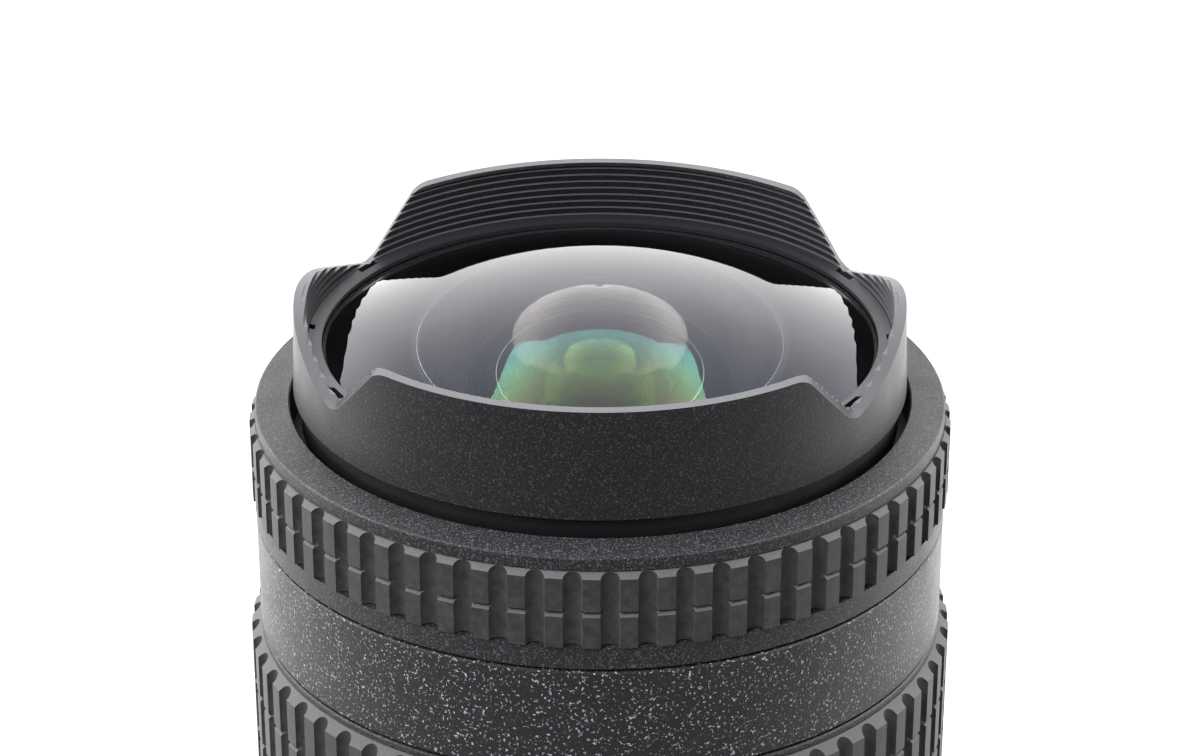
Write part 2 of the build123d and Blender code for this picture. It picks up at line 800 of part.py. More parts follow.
# Outer barrel: the fixed shell between the two rings, the sleeve under the zoom ring and the
# bearing under the focus ring, joined by a web
with BuildPart() as outer_barrel:
    turned(
        (sleeve_r - sleeve_wall, sleeve_foot_z),
        (sleeve_r, sleeve_foot_z),
        (sleeve_r, barrel_foot_z),
        (barrel_r - edge_break, barrel_foot_z),
        (barrel_r, barrel_foot_z + edge_break),
        (barrel_r, barrel_top_z - edge_break),
        (barrel_r - edge_break, barrel_top_z),
        (barrel_r - barrel_wall, barrel_top_z),
        (barrel_r - barrel_wall, web_top_z),
        (bearing_r, web_top_z),
        (bearing_r, bearing_top_z),
        (bearing_r - bearing_wall, bearing_top_z),
        (bearing_r - bearing_wall, web_top_z),
        (guide_r + seat_fit, web_top_z),
        (guide_r + seat_fit, web_foot_z),
        (barrel_r - barrel_wall, web_foot_z),
        (barrel_r - barrel_wall, barrel_foot_z + barrel_floor),
        (sleeve_r - sleeve_wall, barrel_foot_z + barrel_floor),
    )
    upright_rods(
        mount_screw_azimuths, mount_screw_ring_r, boss_r, sleeve_foot_z, sleeve_foot_z + boss_height
    )
    upright_rods(
        mount_screw_azimuths,
        mount_screw_ring_r,
        mount_screw_r + seat_fit,
        0,
        mount_screw_length + overrun,
        Mode.SUBTRACT,
    )
    upright_rods(
        (motor_azimuth,),
        motor_ring_r,
        motor_shaft_r + running_fit,
        web_foot_z - overrun,
        web_top_z + overrun,
        Mode.SUBTRACT,
    )
    upright_rods(
        (motor_azimuth,),
        motor_ring_r,
        pinion_window_r,
        web_top_z,
        gear_top_z + gear_lift,
        Mode.SUBTRACT,
    )
    key_slot_span = zoom_turn + degrees((key_width + 2 * seam_gap) / sleeve_r)
    for key_azimuth in key_azimuths:
        sector(
            sleeve_r - sleeve_wall - overrun,
            sleeve_r + overrun / 2,
            key_azimuth + zoom_turn / 2,
            key_slot_span,
            key_z - key_height / 2 - seam_gap,
            key_z + key_height / 2 + seam_gap,
            Mode.SUBTRACT,
        )
    sector(
        barrel_r + switch_plate_stand - switch_plate_wall,
        barrel_r + overrun,
        switch_middle_azimuth,
        switch_plate_span,
        switch_z - switch_plate_height / 2,
        switch_z + switch_plate_height / 2,
        Mode.SUBTRACT,
    )
    sector(
        barrel_r - barrel_wall - overrun / 2,
        barrel_r + overrun,
        switch_middle_azimuth,
        switch_span + switch_turn + switch_play,
        switch_z - switch_height / 2 - running_fit,
        switch_z + switch_height / 2 + running_fit,
        Mode.SUBTRACT,
    )
outer_barrel.part.label = "outer_barrel"
export_step(outer_barrel.part, "parts/outer_barrel.step")

# Zoom ring with its rubber grip
zoom_grip_foot_z = zoom_foot_z + zoom_band_height
zoom_grip_top_z = zoom_top_z - zoom_collar_height
zoom_bore_r = sleeve_r + running_fit
with BuildPart() as zoom_ring:
    turned(
        (zoom_bore_r, zoom_foot_z),
        (zoom_band_r - edge_break, zoom_foot_z),
        (zoom_band_r, zoom_foot_z + edge_break),
        (zoom_band_r, zoom_grip_foot_z),
        (zoom_grip_seat_r, zoom_grip_foot_z),
        (zoom_grip_seat_r, zoom_grip_top_z),
        (zoom_collar_r, zoom_grip_top_z),
        (zoom_collar_r, zoom_top_z - edge_break),
        (zoom_collar_r - edge_break, zoom_top_z),
        (zoom_bore_r, zoom_top_z),
    )
    for key_azimuth in key_azimuths:
        with BuildSketch(facing(key_azimuth, sleeve_r, key_z)) as key_hole:
            Rectangle(key_width + 2 * seat_fit, key_height + 2 * seat_fit)
        extrude(key_hole.sketch, amount=zoom_grip_seat_r - sleeve_r + overrun, mode=Mode.SUBTRACT)
zoom_ring.part.label = "zoom_ring"
export_step(zoom_ring.part, "parts/zoom_ring.step")

zoom_grip_flute = ball_ended_flute(first_flute_azimuth, zoom_grip_r, zoom_grip_foot_z, zoom_grip_top_z)
with BuildPart() as zoom_grip:
    fluted_grip(
        zoom_grip_seat_r,
        zoom_grip_r,
        zoom_collar_r,
        zoom_grip_foot_z,
        zoom_grip_top_z,
        zoom_grip_bevel,
        zoom_grip_rows,
        zoom_grip_flute,
    )
zoom_grip.part.label = "zoom_grip"
export_step(zoom_grip.part, "parts/zoom_grip.step")

# Two keys that carry the zoom ring's turn through the sleeve to the cam barrel
with BuildPart() as zoom_keys:
    for key_azimuth in key_azimuths:
        with BuildSketch(facing(key_azimuth, cam_bore_r + seat_fit, key_z)) as key_end:
            Rectangle(key_width, key_height)
        extrude(key_end.sketch, amount=zoom_grip_seat_r - cam_bore_r - 2 * running_fit)
zoom_keys.part.label = "zoom_keys"
export_step(zoom_keys.part, "parts/zoom_keys.step")

# Zoom cam barrel: helical slots for the middle and the rear group
cam_foot_z = guide_foot_top_z + cam_end_gap
with BuildPart() as cam_barrel:
    ring(cam_bore_r, cam_r, cam_foot_z, web_foot_z - cam_end_gap)
    helical_tracks(middle_roller_z, middle_travel, zoom_turn)
    helical_tracks(rear_roller_z, rear_travel, zoom_turn)
    for key_azimuth in key_azimuths:
        with BuildSketch(facing(key_azimuth, cam_bore_r - overrun, key_z)) as key_pocket:
            Rectangle(key_width + 2 * seat_fit, key_height + 2 * seat_fit)
        extrude(key_pocket.sketch, amount=cam_wall + 2 * overrun, mode=Mode.SUBTRACT)
cam_barrel.part.label = "cam_barrel"
export_step(cam_barrel.part, "parts/cam_barrel.step")

# Focus ring: the shoulder round the hood, the seat of the grip, the lip under it and an inner flange
focus_bore_r = bearing_r + running_fit
with BuildPart() as focus_ring:
    turned(
        (focus_bore_r, focus_foot_z),
        (focus_lip_r - edge_break, focus_foot_z),
        (focus_lip_r, focus_foot_z + edge_break),
        (focus_lip_r, focus_grip_foot_z),
        (focus_grip_seat_r, focus_grip_foot_z),
        (focus_grip_seat_r, focus_grip_top_z),
        (rim_r, focus_grip_top_z),
        (rim_r, shoulder_z - edge_break),
        (rim_r - edge_break, shoulder_z),
        (opening_r + edge_break, shoulder_z + rim_rise),
        (opening_r, shoulder_z + rim_rise - edge_break),
        (opening_r, focus_flange_top_z),
        (focus_flange_r, focus_flange_top_z),
        (focus_flange_r, focus_flange_foot_z),
        (focus_bore_r, focus_flange_foot_z),
    )
    upright_rods(
        cam_screw_azimuths,
        cam_screw_ring_r,
        cam_screw_r + seat_fit,
        focus_foot_z,
        shoulder_z,
        Mode.SUBTRACT,
    )
focus_ring.part.label = "focus_ring"
export_step(focus_ring.part, "parts/focus_ring.step")

focus_grip_flute = ball_ended_flute(first_flute_azimuth, focus_grip_r, focus_grip_foot_z, focus_grip_top_z)
with BuildPart() as focus_grip:
    fluted_grip(
        focus_grip_seat_r,
        focus_grip_r,
        focus_grip_bevel_r,
        focus_grip_foot_z,
        focus_grip_top_z,
        focus_grip_bevel,
        focus_grip_rows,
        focus_grip_flute,
    )
focus_grip.part.label = "focus_grip"
export_step(focus_grip.part, "parts/focus_grip.step")

# Focus cam sleeve: three shallow helical slots, a flange to the focus ring and the toothed sector
# that the motor's pinion drives
sleeve_flange_foot_z = focus_flange_foot_z - sleeve_flange_height
sector_root_r = sector_pitch_r - gear_module * tooth_depth_share
sector_step = 360 / sector_teeth_per_turn
spare_teeth = int(sector_margin / sector_step)
driven_teeth = int(focus_turn / sector_step) + 1
with BuildPart() as focus_cam_sleeve:
    ring(cam_bore_r, cam_r, web_top_z + cam_end_gap, focus_flange_foot_z)
    ring(cam_bore_r, sleeve_flange_r, sleeve_flange_foot_z, focus_flange_foot_z)
    sector(
        cam_r - seat_fit,
        sector_root_r,
        motor_azimuth - focus_turn / 2,
        focus_turn + 2 * sector_margin + sector_step,
        gear_foot_z,
        gear_top_z,
    )
    with BuildSketch(Plane.XY.offset(gear_foot_z)) as sector_teeth:
        for number in range(-driven_teeth - spare_teeth, spare_teeth):
            with BuildLine():
                Polyline(*tooth(motor_azimuth + (number + 1 / 2) * sector_step, sector_pitch_r), close=True)
            make_face()
    extrude(sector_teeth.sketch, amount=gear_height)
    helical_tracks(front_roller_z, front_travel, focus_turn)
    upright_rods(
        cam_screw_azimuths,
        cam_screw_ring_r,
        cam_screw_r + seat_fit,
        gear_top_z,
        focus_flange_top_z,
        Mode.SUBTRACT,
    )
focus_cam_sleeve.part.label = "focus_cam_sleeve"
export_step(focus_cam_sleeve.part, "parts/focus_cam_sleeve.step")

with BuildPart() as focus_cam_screws:
    upright_rods(
        cam_screw_azimuths, cam_screw_ring_r, cam_screw_r, sleeve_flange_foot_z, focus_flange_top_z
    )
    upright_rods(
        cam_screw_azimuths,
        cam_screw_ring_r,
        cam_screw_head_r,
        focus_flange_top_z,
        focus_flange_top_z + cam_screw_head_height,
    )
focus_cam_screws.part.label = "focus_cam_screws"
export_step(focus_cam_screws.part, "parts/focus_cam_screws.step")

# Focus motor under the web, and its pinion
motor_x, motor_y = polar(motor_ring_r, motor_azimuth)
with BuildPart() as focus_motor:
    upright_rods((motor_azimuth,), motor_ring_r, motor_r, web_foot_z - motor_length, web_foot_z)
    upright_rods(
        (motor_azimuth,),
        motor_ring_r,
        motor_shaft_r + running_fit,
        web_foot_z - motor_bearing_depth - running_fit,
        web_foot_z + overrun,
        Mode.SUBTRACT,
    )
focus_motor.part.label = "focus_motor"
export_step(focus_motor.part, "parts/focus_motor.step")

with BuildPart() as motor_pinion:
    upright_rods(
        (motor_azimuth,), motor_ring_r, motor_shaft_r, web_foot_z - motor_bearing_depth, gear_top_z
    )
    with BuildSketch(Plane((motor_x, motor_y, gear_foot_z))) as pinion_teeth:
        Circle(pinion_pitch_r - gear_module * tooth_depth_share)
        for number in range(pinion_teeth_count):
            azimuth = motor_azimuth + 180 + number * 360 / pinion_teeth_count
            with BuildLine():
                Polyline(*tooth(azimuth, pinion_pitch_r), close=True)
            make_face()
    extrude(pinion_teeth.sketch, amount=gear_height)
motor_pinion.part.label = "motor_pinion"
export_step(motor_pinion.part, "parts/motor_pinion.step")

# Focus mode switch: a plate let into the outer barrel and a slider with a shoe behind the wall
with BuildPart() as switch_plate:
    sector(
        barrel_r + switch_plate_stand - switch_plate_wall + seat_fit,
        barrel_r + switch_plate_stand,
        switch_middle_azimuth,
        switch_plate_span - switch_play,
        switch_z - switch_plate_height / 2 + seat_fit,
        switch_z + switch_plate_height / 2 - seat_fit,
    )
    sector(
        barrel_r - barrel_wall,
        barrel_r + overrun,
        switch_middle_azimuth,
        switch_span + switch_turn + switch_play,
        switch_z - switch_height / 2 - running_fit,
        switch_z + switch_height / 2 + running_fit,
        Mode.SUBTRACT,
    )
switch_plate.part.label = "switch_plate"
export_step(switch_plate.part, "parts/switch_plate.step")

shoe_outer_r = barrel_r - barrel_wall - running_fit
with BuildPart() as focus_switch:
    sector(
        shoe_outer_r - switch_shoe_wall,
        shoe_outer_r,
        switch_azimuth,
        switch_shoe_span,
        switch_z - switch_shoe_height / 2,
        switch_z + switch_shoe_height / 2,
    )
    sector(
        shoe_outer_r - switch_shoe_wall,
        switch_r,
        switch_azimuth,
        switch_span,
        switch_z - switch_height / 2,
        switch_z + switch_height / 2,
    )
    for number in range(1, switch_groove_count + 1):
        groove_azimuth = switch_azimuth - switch_span / 2 + number * switch_span / (switch_groove_count + 1)
        sector(
            switch_r - switch_groove_depth,
            switch_r + overrun,
            groove_azimuth,
            switch_groove_span,
            switch_z - switch_height,
            switch_z + switch_height,
            Mode.SUBTRACT,
        )
focus_switch.part.label = "focus_switch"
export_step(focus_switch.part, "parts/focus_switch.step")

# Front barrel: the cup of the front element, the collar inside the focus ring and the sliding tube
collar_foot_z = shoulder_z - front_collar_drop
cell_floor_z = collar_foot_z + front_floor
neck_bore_r = first_glass_r + seat_fit
neck_r = neck_bore_r + front_neck_wall
neck_top_z = cell_floor_z + first_glass_edge
hood_base_z = shoulder_z + hood_base_lift
front_tube_foot_z = shoulder_z - front_tube_drop
second_glass_z = collar_foot_z - second_glass_gap
with BuildPart() as front_barrel:
    turned(
        (floor_opening_r, cell_floor_z),
        (neck_bore_r, cell_floor_z),
        (neck_bore_r, neck_top_z),
        (neck_r, neck_top_z),
        (neck_r, hood_base_z),
        (front_collar_r, hood_base_z),
        (front_collar_r, collar_foot_z),
        (slider_r, collar_foot_z),
        (slider_r, front_tube_foot_z),
        (front_cell_r, front_tube_foot_z),
        (front_cell_r, second_glass_z),
        (second_seat_r, second_glass_z),
        (second_seat_r, collar_foot_z),
        (floor_opening_r, collar_foot_z),
    )
    cross_rods(
        track_azimuths,
        front_roller_z,
        roller_stub_r,
        slider_r - roller_stub_length - seat_fit,
        slider_r + overrun,
        Mode.SUBTRACT,
    )
front_barrel.part.label = "front_barrel"
export_step(front_barrel.part, "parts/front_barrel.step")

# Petal hood: a tapered ring with sawtooth ribs inside, cut to two long and two short petals
hood_tip_z = shoulder_z + hood_height
hood_bore_r = hood_tip_r - hood_wall
notch_z = shoulder_z + notch_lift
ribs = []
for number in range(hood_rib_count):
    ledge_z = hood_tip_z - hood_rib_drop - number * hood_rib_pitch
    ribs += [(hood_bore_r + hood_rib_depth, ledge_z), (hood_bore_r, ledge_z)]
hood_reach = hood_base_r + overrun
side_foot_y = (side_peak_lift - notch_lift) / tan(radians(side_slope))
with BuildPart() as petals:
    with BuildSketch(Plane.XZ):
        with BuildLine():
            FilletPolyline(
                (-hood_reach, notch_z),
                (-petal_foot_x, notch_z),
                (-petal_half_width, hood_tip_z),
                (petal_half_width, hood_tip_z),
                (petal_foot_x, notch_z),
                (hood_reach, notch_z),
                radius=[notch_r, petal_corner_r, petal_corner_r, notch_r],
            )
            Polyline(
                (hood_reach, notch_z),
                (hood_reach, hood_base_z - overrun),
                (-hood_reach, hood_base_z - overrun),
                (-hood_reach, notch_z),
            )
        make_face()
    extrude(amount=hood_reach, both=True)
    with BuildSketch(Plane.YZ):
        with BuildLine():
            FilletPolyline(
                (-hood_reach, notch_z),
                (-side_foot_y, notch_z),
                (0, shoulder_z + side_peak_lift),
                (side_foot_y, notch_z),
                (hood_reach, notch_z),
                radius=[side_notch_r, side_peak_r, side_notch_r],
            )
            Polyline(
                (hood_reach, notch_z),
                (hood_reach, hood_base_z - overrun),
                (-hood_reach, hood_base_z - overrun),
                (-hood_reach, notch_z),
            )
        make_face()
    extrude(amount=hood_reach, both=True)
with BuildPart() as petal_hood:
    turned(
        (hood_bore_r, hood_base_z),
        (hood_base_r - edge_break, hood_base_z),
        (hood_base_r, hood_base_z + edge_break),
        (hood_tip_r, hood_tip_z),
        (hood_bore_r, hood_tip_z),
        (hood_bore_r, hood_tip_z - hood_rib_drop / 2),
        *ribs,
    )
    add(petals.part, mode=Mode.INTERSECT)
petal_hood.part.label = "petal_hood"
export_step(petal_hood.part, "parts/petal_hood.step")

# Ring that holds the front element, with slots for a spanner and for the hood's clips
ring_top_z = shoulder_z + front_ring_lift
with BuildPart() as front_ring:
    turned(
        (front_ring_inner_r, ring_top_z),
        (neck_r, ring_top_z + front_ring_slope),
        (neck_r, neck_top_z),
        (first_glass_r, neck_top_z),
        (front_ring_inner_r, ring_top_z - front_ring_lip),
    )
    for azimuths, width in ((ring_slot_azimuths, ring_slot_width), (long_slot_azimuths, long_slot_width)):
        for azimuth in azimuths:
            with BuildSketch(facing(azimuth, neck_r - ring_slot_depth, ring_top_z)) as ring_slot:
                Rectangle(width, 2 * (ring_top_z - neck_top_z) + overrun)
            extrude(ring_slot.sketch, amount=ring_slot_depth + overrun, mode=Mode.SUBTRACT)
front_ring.part.label = "front_ring"
export_step(front_ring.part, "parts/front_ring.step")

# Glass of the front group, with the cell of the cemented pair and the ring that locks it
with BuildPart() as front_element:
    glass(
        first_glass_r,
        neck_top_z,
        first_glass_edge,
        first_glass_r,
        first_glass_bow,
        first_glass_hollow_r,
        first_glass_hollow,
    )
front_element.part.label = "front_element"
export_step(front_element.part, "parts/front_element.step")

with BuildPart() as second_element:
    glass(
        front_cell_r - seat_fit,
        second_glass_z,
        second_glass_edge,
        second_glass_clear_r,
        second_glass_bow,
        second_glass_hollow_r,
        second_glass_hollow,
    )
second_element.part.label = "second_element"
export_step(second_element.part, "parts/second_element.step")

third_cell_top_z = second_glass_z - second_glass_edge
third_glass_z = third_cell_top_z - third_cell_lip
fourth_glass_z = third_glass_z - third_glass_edge
with BuildPart() as front_spacer:
    turned(
        (third_cell_lip_r, third_cell_top_z),
        (front_cell_r - seat_fit, third_cell_top_z),
        (front_cell_r - seat_fit, fourth_glass_z),
        (third_glass_r + seat_fit, fourth_glass_z),
        (third_glass_r + seat_fit, third_glass_z),
        (third_cell_lip_r, third_glass_z),
    )
front_spacer.part.label = "front_spacer"
export_step(front_spacer.part, "parts/front_spacer.step")

with BuildPart() as third_element:
    glass(
        third_glass_r,
        third_glass_z,
        third_glass_edge,
        third_glass_front_hollow_r,
        -third_glass_front_hollow,
        fourth_glass_r,
        third_glass_rear_hollow,
    )
third_element.part.label = "third_element"
export_step(third_element.part, "parts/third_element.step")

with BuildPart() as fourth_element:
    glass(
        fourth_glass_r,
        fourth_glass_z,
        fourth_glass_edge,
        fourth_glass_r,
        third_glass_rear_hollow,
        fourth_glass_r,
        -fourth_glass_bow,
    )
fourth_element.part.label = "fourth_element"
export_step(fourth_element.part, "parts/fourth_element.step")

with BuildPart() as front_lock_ring:
    ring(
        fourth_glass_r + front_lock_gap,
        front_cell_r - seat_fit,
        fourth_glass_z - front_lock_height,
        fourth_glass_z,
    )
front_lock_ring.part.label = "front_lock_ring"
export_step(front_lock_ring.part, "parts/front_lock_ring.step")

with BuildPart() as front_rollers:
    rollers(front_roller_z, slider_r)
front_rollers.part.label = "front_rollers"
export_step(front_rollers.part, "parts/front_rollers.step")

# Levels of the iris, from its cover up to the web that carries the middle group's glass
cover_top_z = middle_foot_z + iris_cover_height
iris_ring_foot_z = cover_top_z + iris_cover_gap
iris_ring_top_z = iris_ring_foot_z + iris_ring_height
first_blade_z = iris_ring_top_z + blade_room
iris_floor_z = first_blade_z + blade_count * blade_pitch + blade_room
middle_web_z = iris_floor_z + iris_floor
middle_seat_z = middle_web_z + middle_lip_height
middle_inner_r = slider_r - middle_wall
middle_glass_r = middle_cell_r - seat_fit
with BuildPart() as middle_barrel:
    turned(
        (middle_lip_r, middle_web_z),
        (middle_inner_r, middle_web_z),
        (middle_inner_r, middle_foot_z),
        (slider_r, middle_foot_z),
        (slider_r, middle_foot_z + middle_height),
        (middle_inner_r, middle_foot_z + middle_height),
        (middle_inner_r, middle_web_z + middle_web_height),
        (middle_cell_r + middle_cell_wall, middle_web_z + middle_web_height),
        (middle_cell_r + middle_cell_wall, middle_cell_top_z),
        (middle_cell_r, middle_cell_top_z),
        (middle_cell_r, middle_seat_z),
        (middle_lip_r, middle_seat_z),
    )
    cross_rods(
        track_azimuths,
        middle_roller_z,
        roller_stub_r,
        slider_r - roller_stub_length - seat_fit,
        slider_r + overrun,
        Mode.SUBTRACT,
    )
middle_barrel.part.label = "middle_barrel"
export_step(middle_barrel.part, "parts/middle_barrel.step")

sixth_glass_z = middle_seat_z + sixth_glass_edge
fifth_glass_z = sixth_glass_z + middle_spacer_height + fifth_glass_edge
with BuildPart() as sixth_element:
    glass(
        middle_glass_r,
        sixth_glass_z,
        sixth_glass_edge,
        middle_lip_r,
        sixth_glass_bow,
        middle_lip_r,
        -sixth_glass_rear_bow,
    )
sixth_element.part.label = "sixth_element"
export_step(sixth_element.part, "parts/sixth_element.step")

with BuildPart() as middle_spacer:
    ring(middle_lip_r, middle_glass_r, sixth_glass_z, sixth_glass_z + middle_spacer_height)
middle_spacer.part.label = "middle_spacer"
export_step(middle_spacer.part, "parts/middle_spacer.step")

with BuildPart() as fifth_element:
    glass(
        middle_glass_r,
        fifth_glass_z,
        fifth_glass_edge,
        middle_lip_r,
        fifth_glass_bow,
        middle_lip_r,
        fifth_glass_rear_hollow,
    )
fifth_element.part.label = "fifth_element"
export_step(fifth_element.part, "parts/fifth_element.step")

with BuildPart() as middle_lock_ring:
    ring(middle_lip_r, middle_glass_r, fifth_glass_z, fifth_glass_z + middle_lock_height)
middle_lock_ring.part.label = "middle_lock_ring"
export_step(middle_lock_ring.part, "parts/middle_lock_ring.step")

with BuildPart() as middle_rollers:
    rollers(middle_roller_z, slider_r)
middle_rollers.part.label = "middle_rollers"
export_step(middle_rollers.part, "parts/middle_rollers.step")

# Iris housing: a floor with the pivot holes of the blades and a rim in which the iris ring turns
blade_azimuths = [number * 360 / blade_count for number in range(blade_count)]
with BuildPart() as iris_housing:
    turned(
        (iris_opening_r, iris_floor_z),
        (iris_opening_r, middle_web_z),
        (iris_rim_r + iris_rim_wall, middle_web_z),
        (iris_rim_r + iris_rim_wall, middle_foot_z),
        (iris_rim_r, middle_foot_z),
        (iris_rim_r, iris_floor_z),
    )
    upright_rods(
        blade_azimuths,
        blade_pivot_ring_r,
        blade_pin_r + blade_pin_fit,
        iris_floor_z - overrun,
        middle_web_z,
        Mode.SUBTRACT,
    )
iris_housing.part.label = "iris_housing"
export_step(iris_housing.part, "parts/iris_housing.step")

with BuildPart() as iris_cover:
    ring(iris_ring_inner_r, iris_rim_r - seat_fit, middle_foot_z, cover_top_z)
    sector(
        fork_inner_r - cover_slot_margin,
        iris_rim_r + overrun,
        fork_azimuth + iris_turn / 2,
        iris_turn + fork_slot_span,
        middle_foot_z - overrun,
        cover_top_z + overrun,
        Mode.SUBTRACT,
    )
iris_cover.part.label = "iris_cover"
export_step(iris_cover.part, "parts/iris_cover.step")


def pin_on_ring(share):
    """Where a blade's drive pin lies in the iris ring's own frame after a share of the full turn."""
    turn = radians(iris_turn * blade_turn_share * share)
    x, y = polar(blade_pin_ring_r, blade_pin_azimuth)
    x -= blade_pivot_ring_r
    moved = (blade_pivot_ring_r + x * cos(turn) - y * sin(turn), x * sin(turn) + y * cos(turn))
    back = radians(-iris_turn * share)
    return moved[0] * cos(back) - moved[1] * sin(back), moved[0] * sin(back) + moved[1] * cos(back)


# Iris ring: one cam slot for each blade, which turns the blade in step with the ring, and a fork
# behind it that straddles the stop-down rod
with BuildPart() as iris_ring:
    with BuildSketch(Plane.XY.offset(iris_ring_foot_z)) as iris_ring_face:
        Circle(iris_rim_r - running_fit)
        Circle(iris_ring_inner_r, mode=Mode.SUBTRACT)
        with BuildSketch(mode=Mode.PRIVATE) as cam_slot:
            SlotArc(
                ThreePointArc(*[pin_on_ring(share) for share in (0, 1 / 2, 1)]),
                2 * (blade_pin_r + blade_pin_fit),
            )
        for blade_azimuth in blade_azimuths:
            add(cam_slot.sketch, rotation=blade_azimuth, mode=Mode.SUBTRACT)
    extrude(iris_ring_face.sketch, amount=iris_ring_height)
    rod_gap_angle = degrees((rod_r + running_fit) / fork_inner_r)
    prong_angle = degrees(fork_prong / fork_inner_r)
    for side in (-1, 1):
        sector(
            fork_inner_r,
            fork_outer_r,
            fork_azimuth + side * (rod_gap_angle + prong_angle / 2),
            prong_angle,
            iris_ring_foot_z - fork_length,
            iris_ring_foot_z + iris_ring_height,
        )
iris_ring.part.label = "iris_ring"
export_step(iris_ring.part, "parts/iris_ring.step")

# Iris blades: thin arc-shaped leaves, each on a level of its own, with a pivot pin above and a drive
# pin below
for number, blade_azimuth in enumerate(blade_azimuths):
    level = first_blade_z + number * blade_pitch
    with BuildPart() as iris_blade:
        with BuildSketch(Plane.XY.offset(level)) as leaf:
            with BuildLine():
                far = CenterArc(
                    (0, 0), blade_outer_r, blade_root_azimuth, blade_tip_azimuth - blade_root_azimuth
                )
                near = CenterArc(
                    (0, 0), blade_inner_r, blade_root_azimuth, blade_tip_azimuth - blade_root_azimuth
                )
                Line(far @ 0, near @ 0)
                Line(far @ 1, near @ 1)
            make_face()
            with BuildLine():
                band_half = (blade_outer_r - blade_inner_r) / 2
                CenterArc(polar(blade_pivot_ring_r, 0), blade_pivot_lobe_r, 0, 360)
                CenterArc(polar(blade_pin_ring_r, blade_pin_azimuth), blade_pin_lobe_r, 0, 360)
                CenterArc(polar(blade_inner_r + band_half, blade_root_azimuth), band_half, 0, 360)
            make_hull()
        extrude(leaf.sketch, amount=blade_thickness)
        upright_rods((0,), blade_pivot_ring_r, blade_pin_r, level, middle_web_z - blade_pin_fit)
        upright_rods(
            (blade_pin_azimuth,),
            blade_pin_ring_r,
            blade_pin_r,
            iris_ring_foot_z + blade_pin_fit,
            level + blade_thickness,
        )
    turned_blade = iris_blade.part.rotate(Axis.Z, blade_azimuth)
    turned_blade.label = f"iris_blade_{number + 1}"
    export_step(turned_blade, f"parts/iris_blade_{number + 1}.step")

# Rear group: a tube on three arms that reach out to the guide barrel past the stop-down rod
rear_glass_r = rear_cell_r - seat_fit
rear_seat_z = rear_group_top_z - rear_lip_height
rear_tube_r = rear_cell_r + rear_cell_wall
with BuildPart() as rear_group_barrel:
    turned(
        (rear_lip_r, rear_group_top_z),
        (rear_tube_r, rear_group_top_z),
        (rear_tube_r, rear_group_foot_z),
        (rear_cell_r, rear_group_foot_z),
        (rear_cell_r, rear_seat_z),
        (rear_lip_r, rear_seat_z),
    )
    for azimuth in track_azimuths:
        sector(rear_tube_r - seat_fit, slider_r, azimuth, rear_arm_span, rear_arm_foot_z, rear_arm_top_z)
    cross_rods(
        track_azimuths,
        rear_roller_z,
        roller_stub_r,
        slider_r - roller_stub_length - seat_fit,
        slider_r + overrun,
        Mode.SUBTRACT,
    )
rear_group_barrel.part.label = "rear_group_barrel"
export_step(rear_group_barrel.part, "parts/rear_group_barrel.step")

rear_clear_r = rear_glass_r - rear_glass_land
eighth_glass_z = rear_seat_z - seventh_glass_edge
rear_spacer_z = eighth_glass_z - eighth_glass_edge
ninth_glass_z = rear_spacer_z - rear_spacer_height
rear_spacer_2_z = ninth_glass_z - ninth_glass_edge
tenth_glass_z = rear_spacer_2_z - rear_spacer_2_height
rear_lock_z = tenth_glass_z - tenth_glass_edge
with BuildPart() as seventh_element:
    glass(
        rear_glass_r,
        rear_seat_z,
        seventh_glass_edge,
        rear_clear_r,
        seventh_glass_bow,
        rear_clear_r,
        seventh_glass_hollow,
    )
seventh_element.part.label = "seventh_element"
export_step(seventh_element.part, "parts/seventh_element.step")

with BuildPart() as eighth_element:
    glass(
        rear_glass_r,
        eighth_glass_z,
        eighth_glass_edge,
        rear_clear_r,
        seventh_glass_hollow,
        rear_clear_r,
        -eighth_glass_bow,
    )
eighth_element.part.label = "eighth_element"
export_step(eighth_element.part, "parts/eighth_element.step")

with BuildPart() as rear_spacers:
    ring(rear_glass_r - spacer_wall, rear_glass_r, ninth_glass_z, rear_spacer_z)
    ring(rear_glass_r - spacer_wall, rear_glass_r, tenth_glass_z, rear_spacer_2_z)
rear_spacers.part.label = "rear_spacers"
export_step(rear_spacers.part, "parts/rear_spacers.step")

with BuildPart() as ninth_element:
    glass(
        rear_glass_r,
        ninth_glass_z,
        ninth_glass_edge,
        rear_clear_r,
        ninth_glass_bow,
        rear_clear_r,
        -ninth_glass_rear_bow,
    )
ninth_element.part.label = "ninth_element"
export_step(ninth_element.part, "parts/ninth_element.step")

with BuildPart() as tenth_element:
    glass(
        rear_glass_r,
        tenth_glass_z,
        tenth_glass_edge,
        rear_clear_r,
        -tenth_glass_hollow,
        rear_clear_r,
        -tenth_glass_bow,
    )
tenth_element.part.label = "tenth_element"
export_step(tenth_element.part, "parts/tenth_element.step")

with BuildPart() as rear_lock_ring:
    ring(rear_glass_r - spacer_wall, rear_glass_r, rear_lock_z - rear_lock_height, rear_lock_z)
rear_lock_ring.part.label = "rear_lock_ring"
export_step(rear_lock_ring.part, "parts/rear_lock_ring.step")

with BuildPart() as rear_rollers:
    rollers(rear_roller_z, slider_r)
rear_rollers.part.label = "rear_rollers"
export_step(rear_rollers.part, "parts/rear_rollers.step")

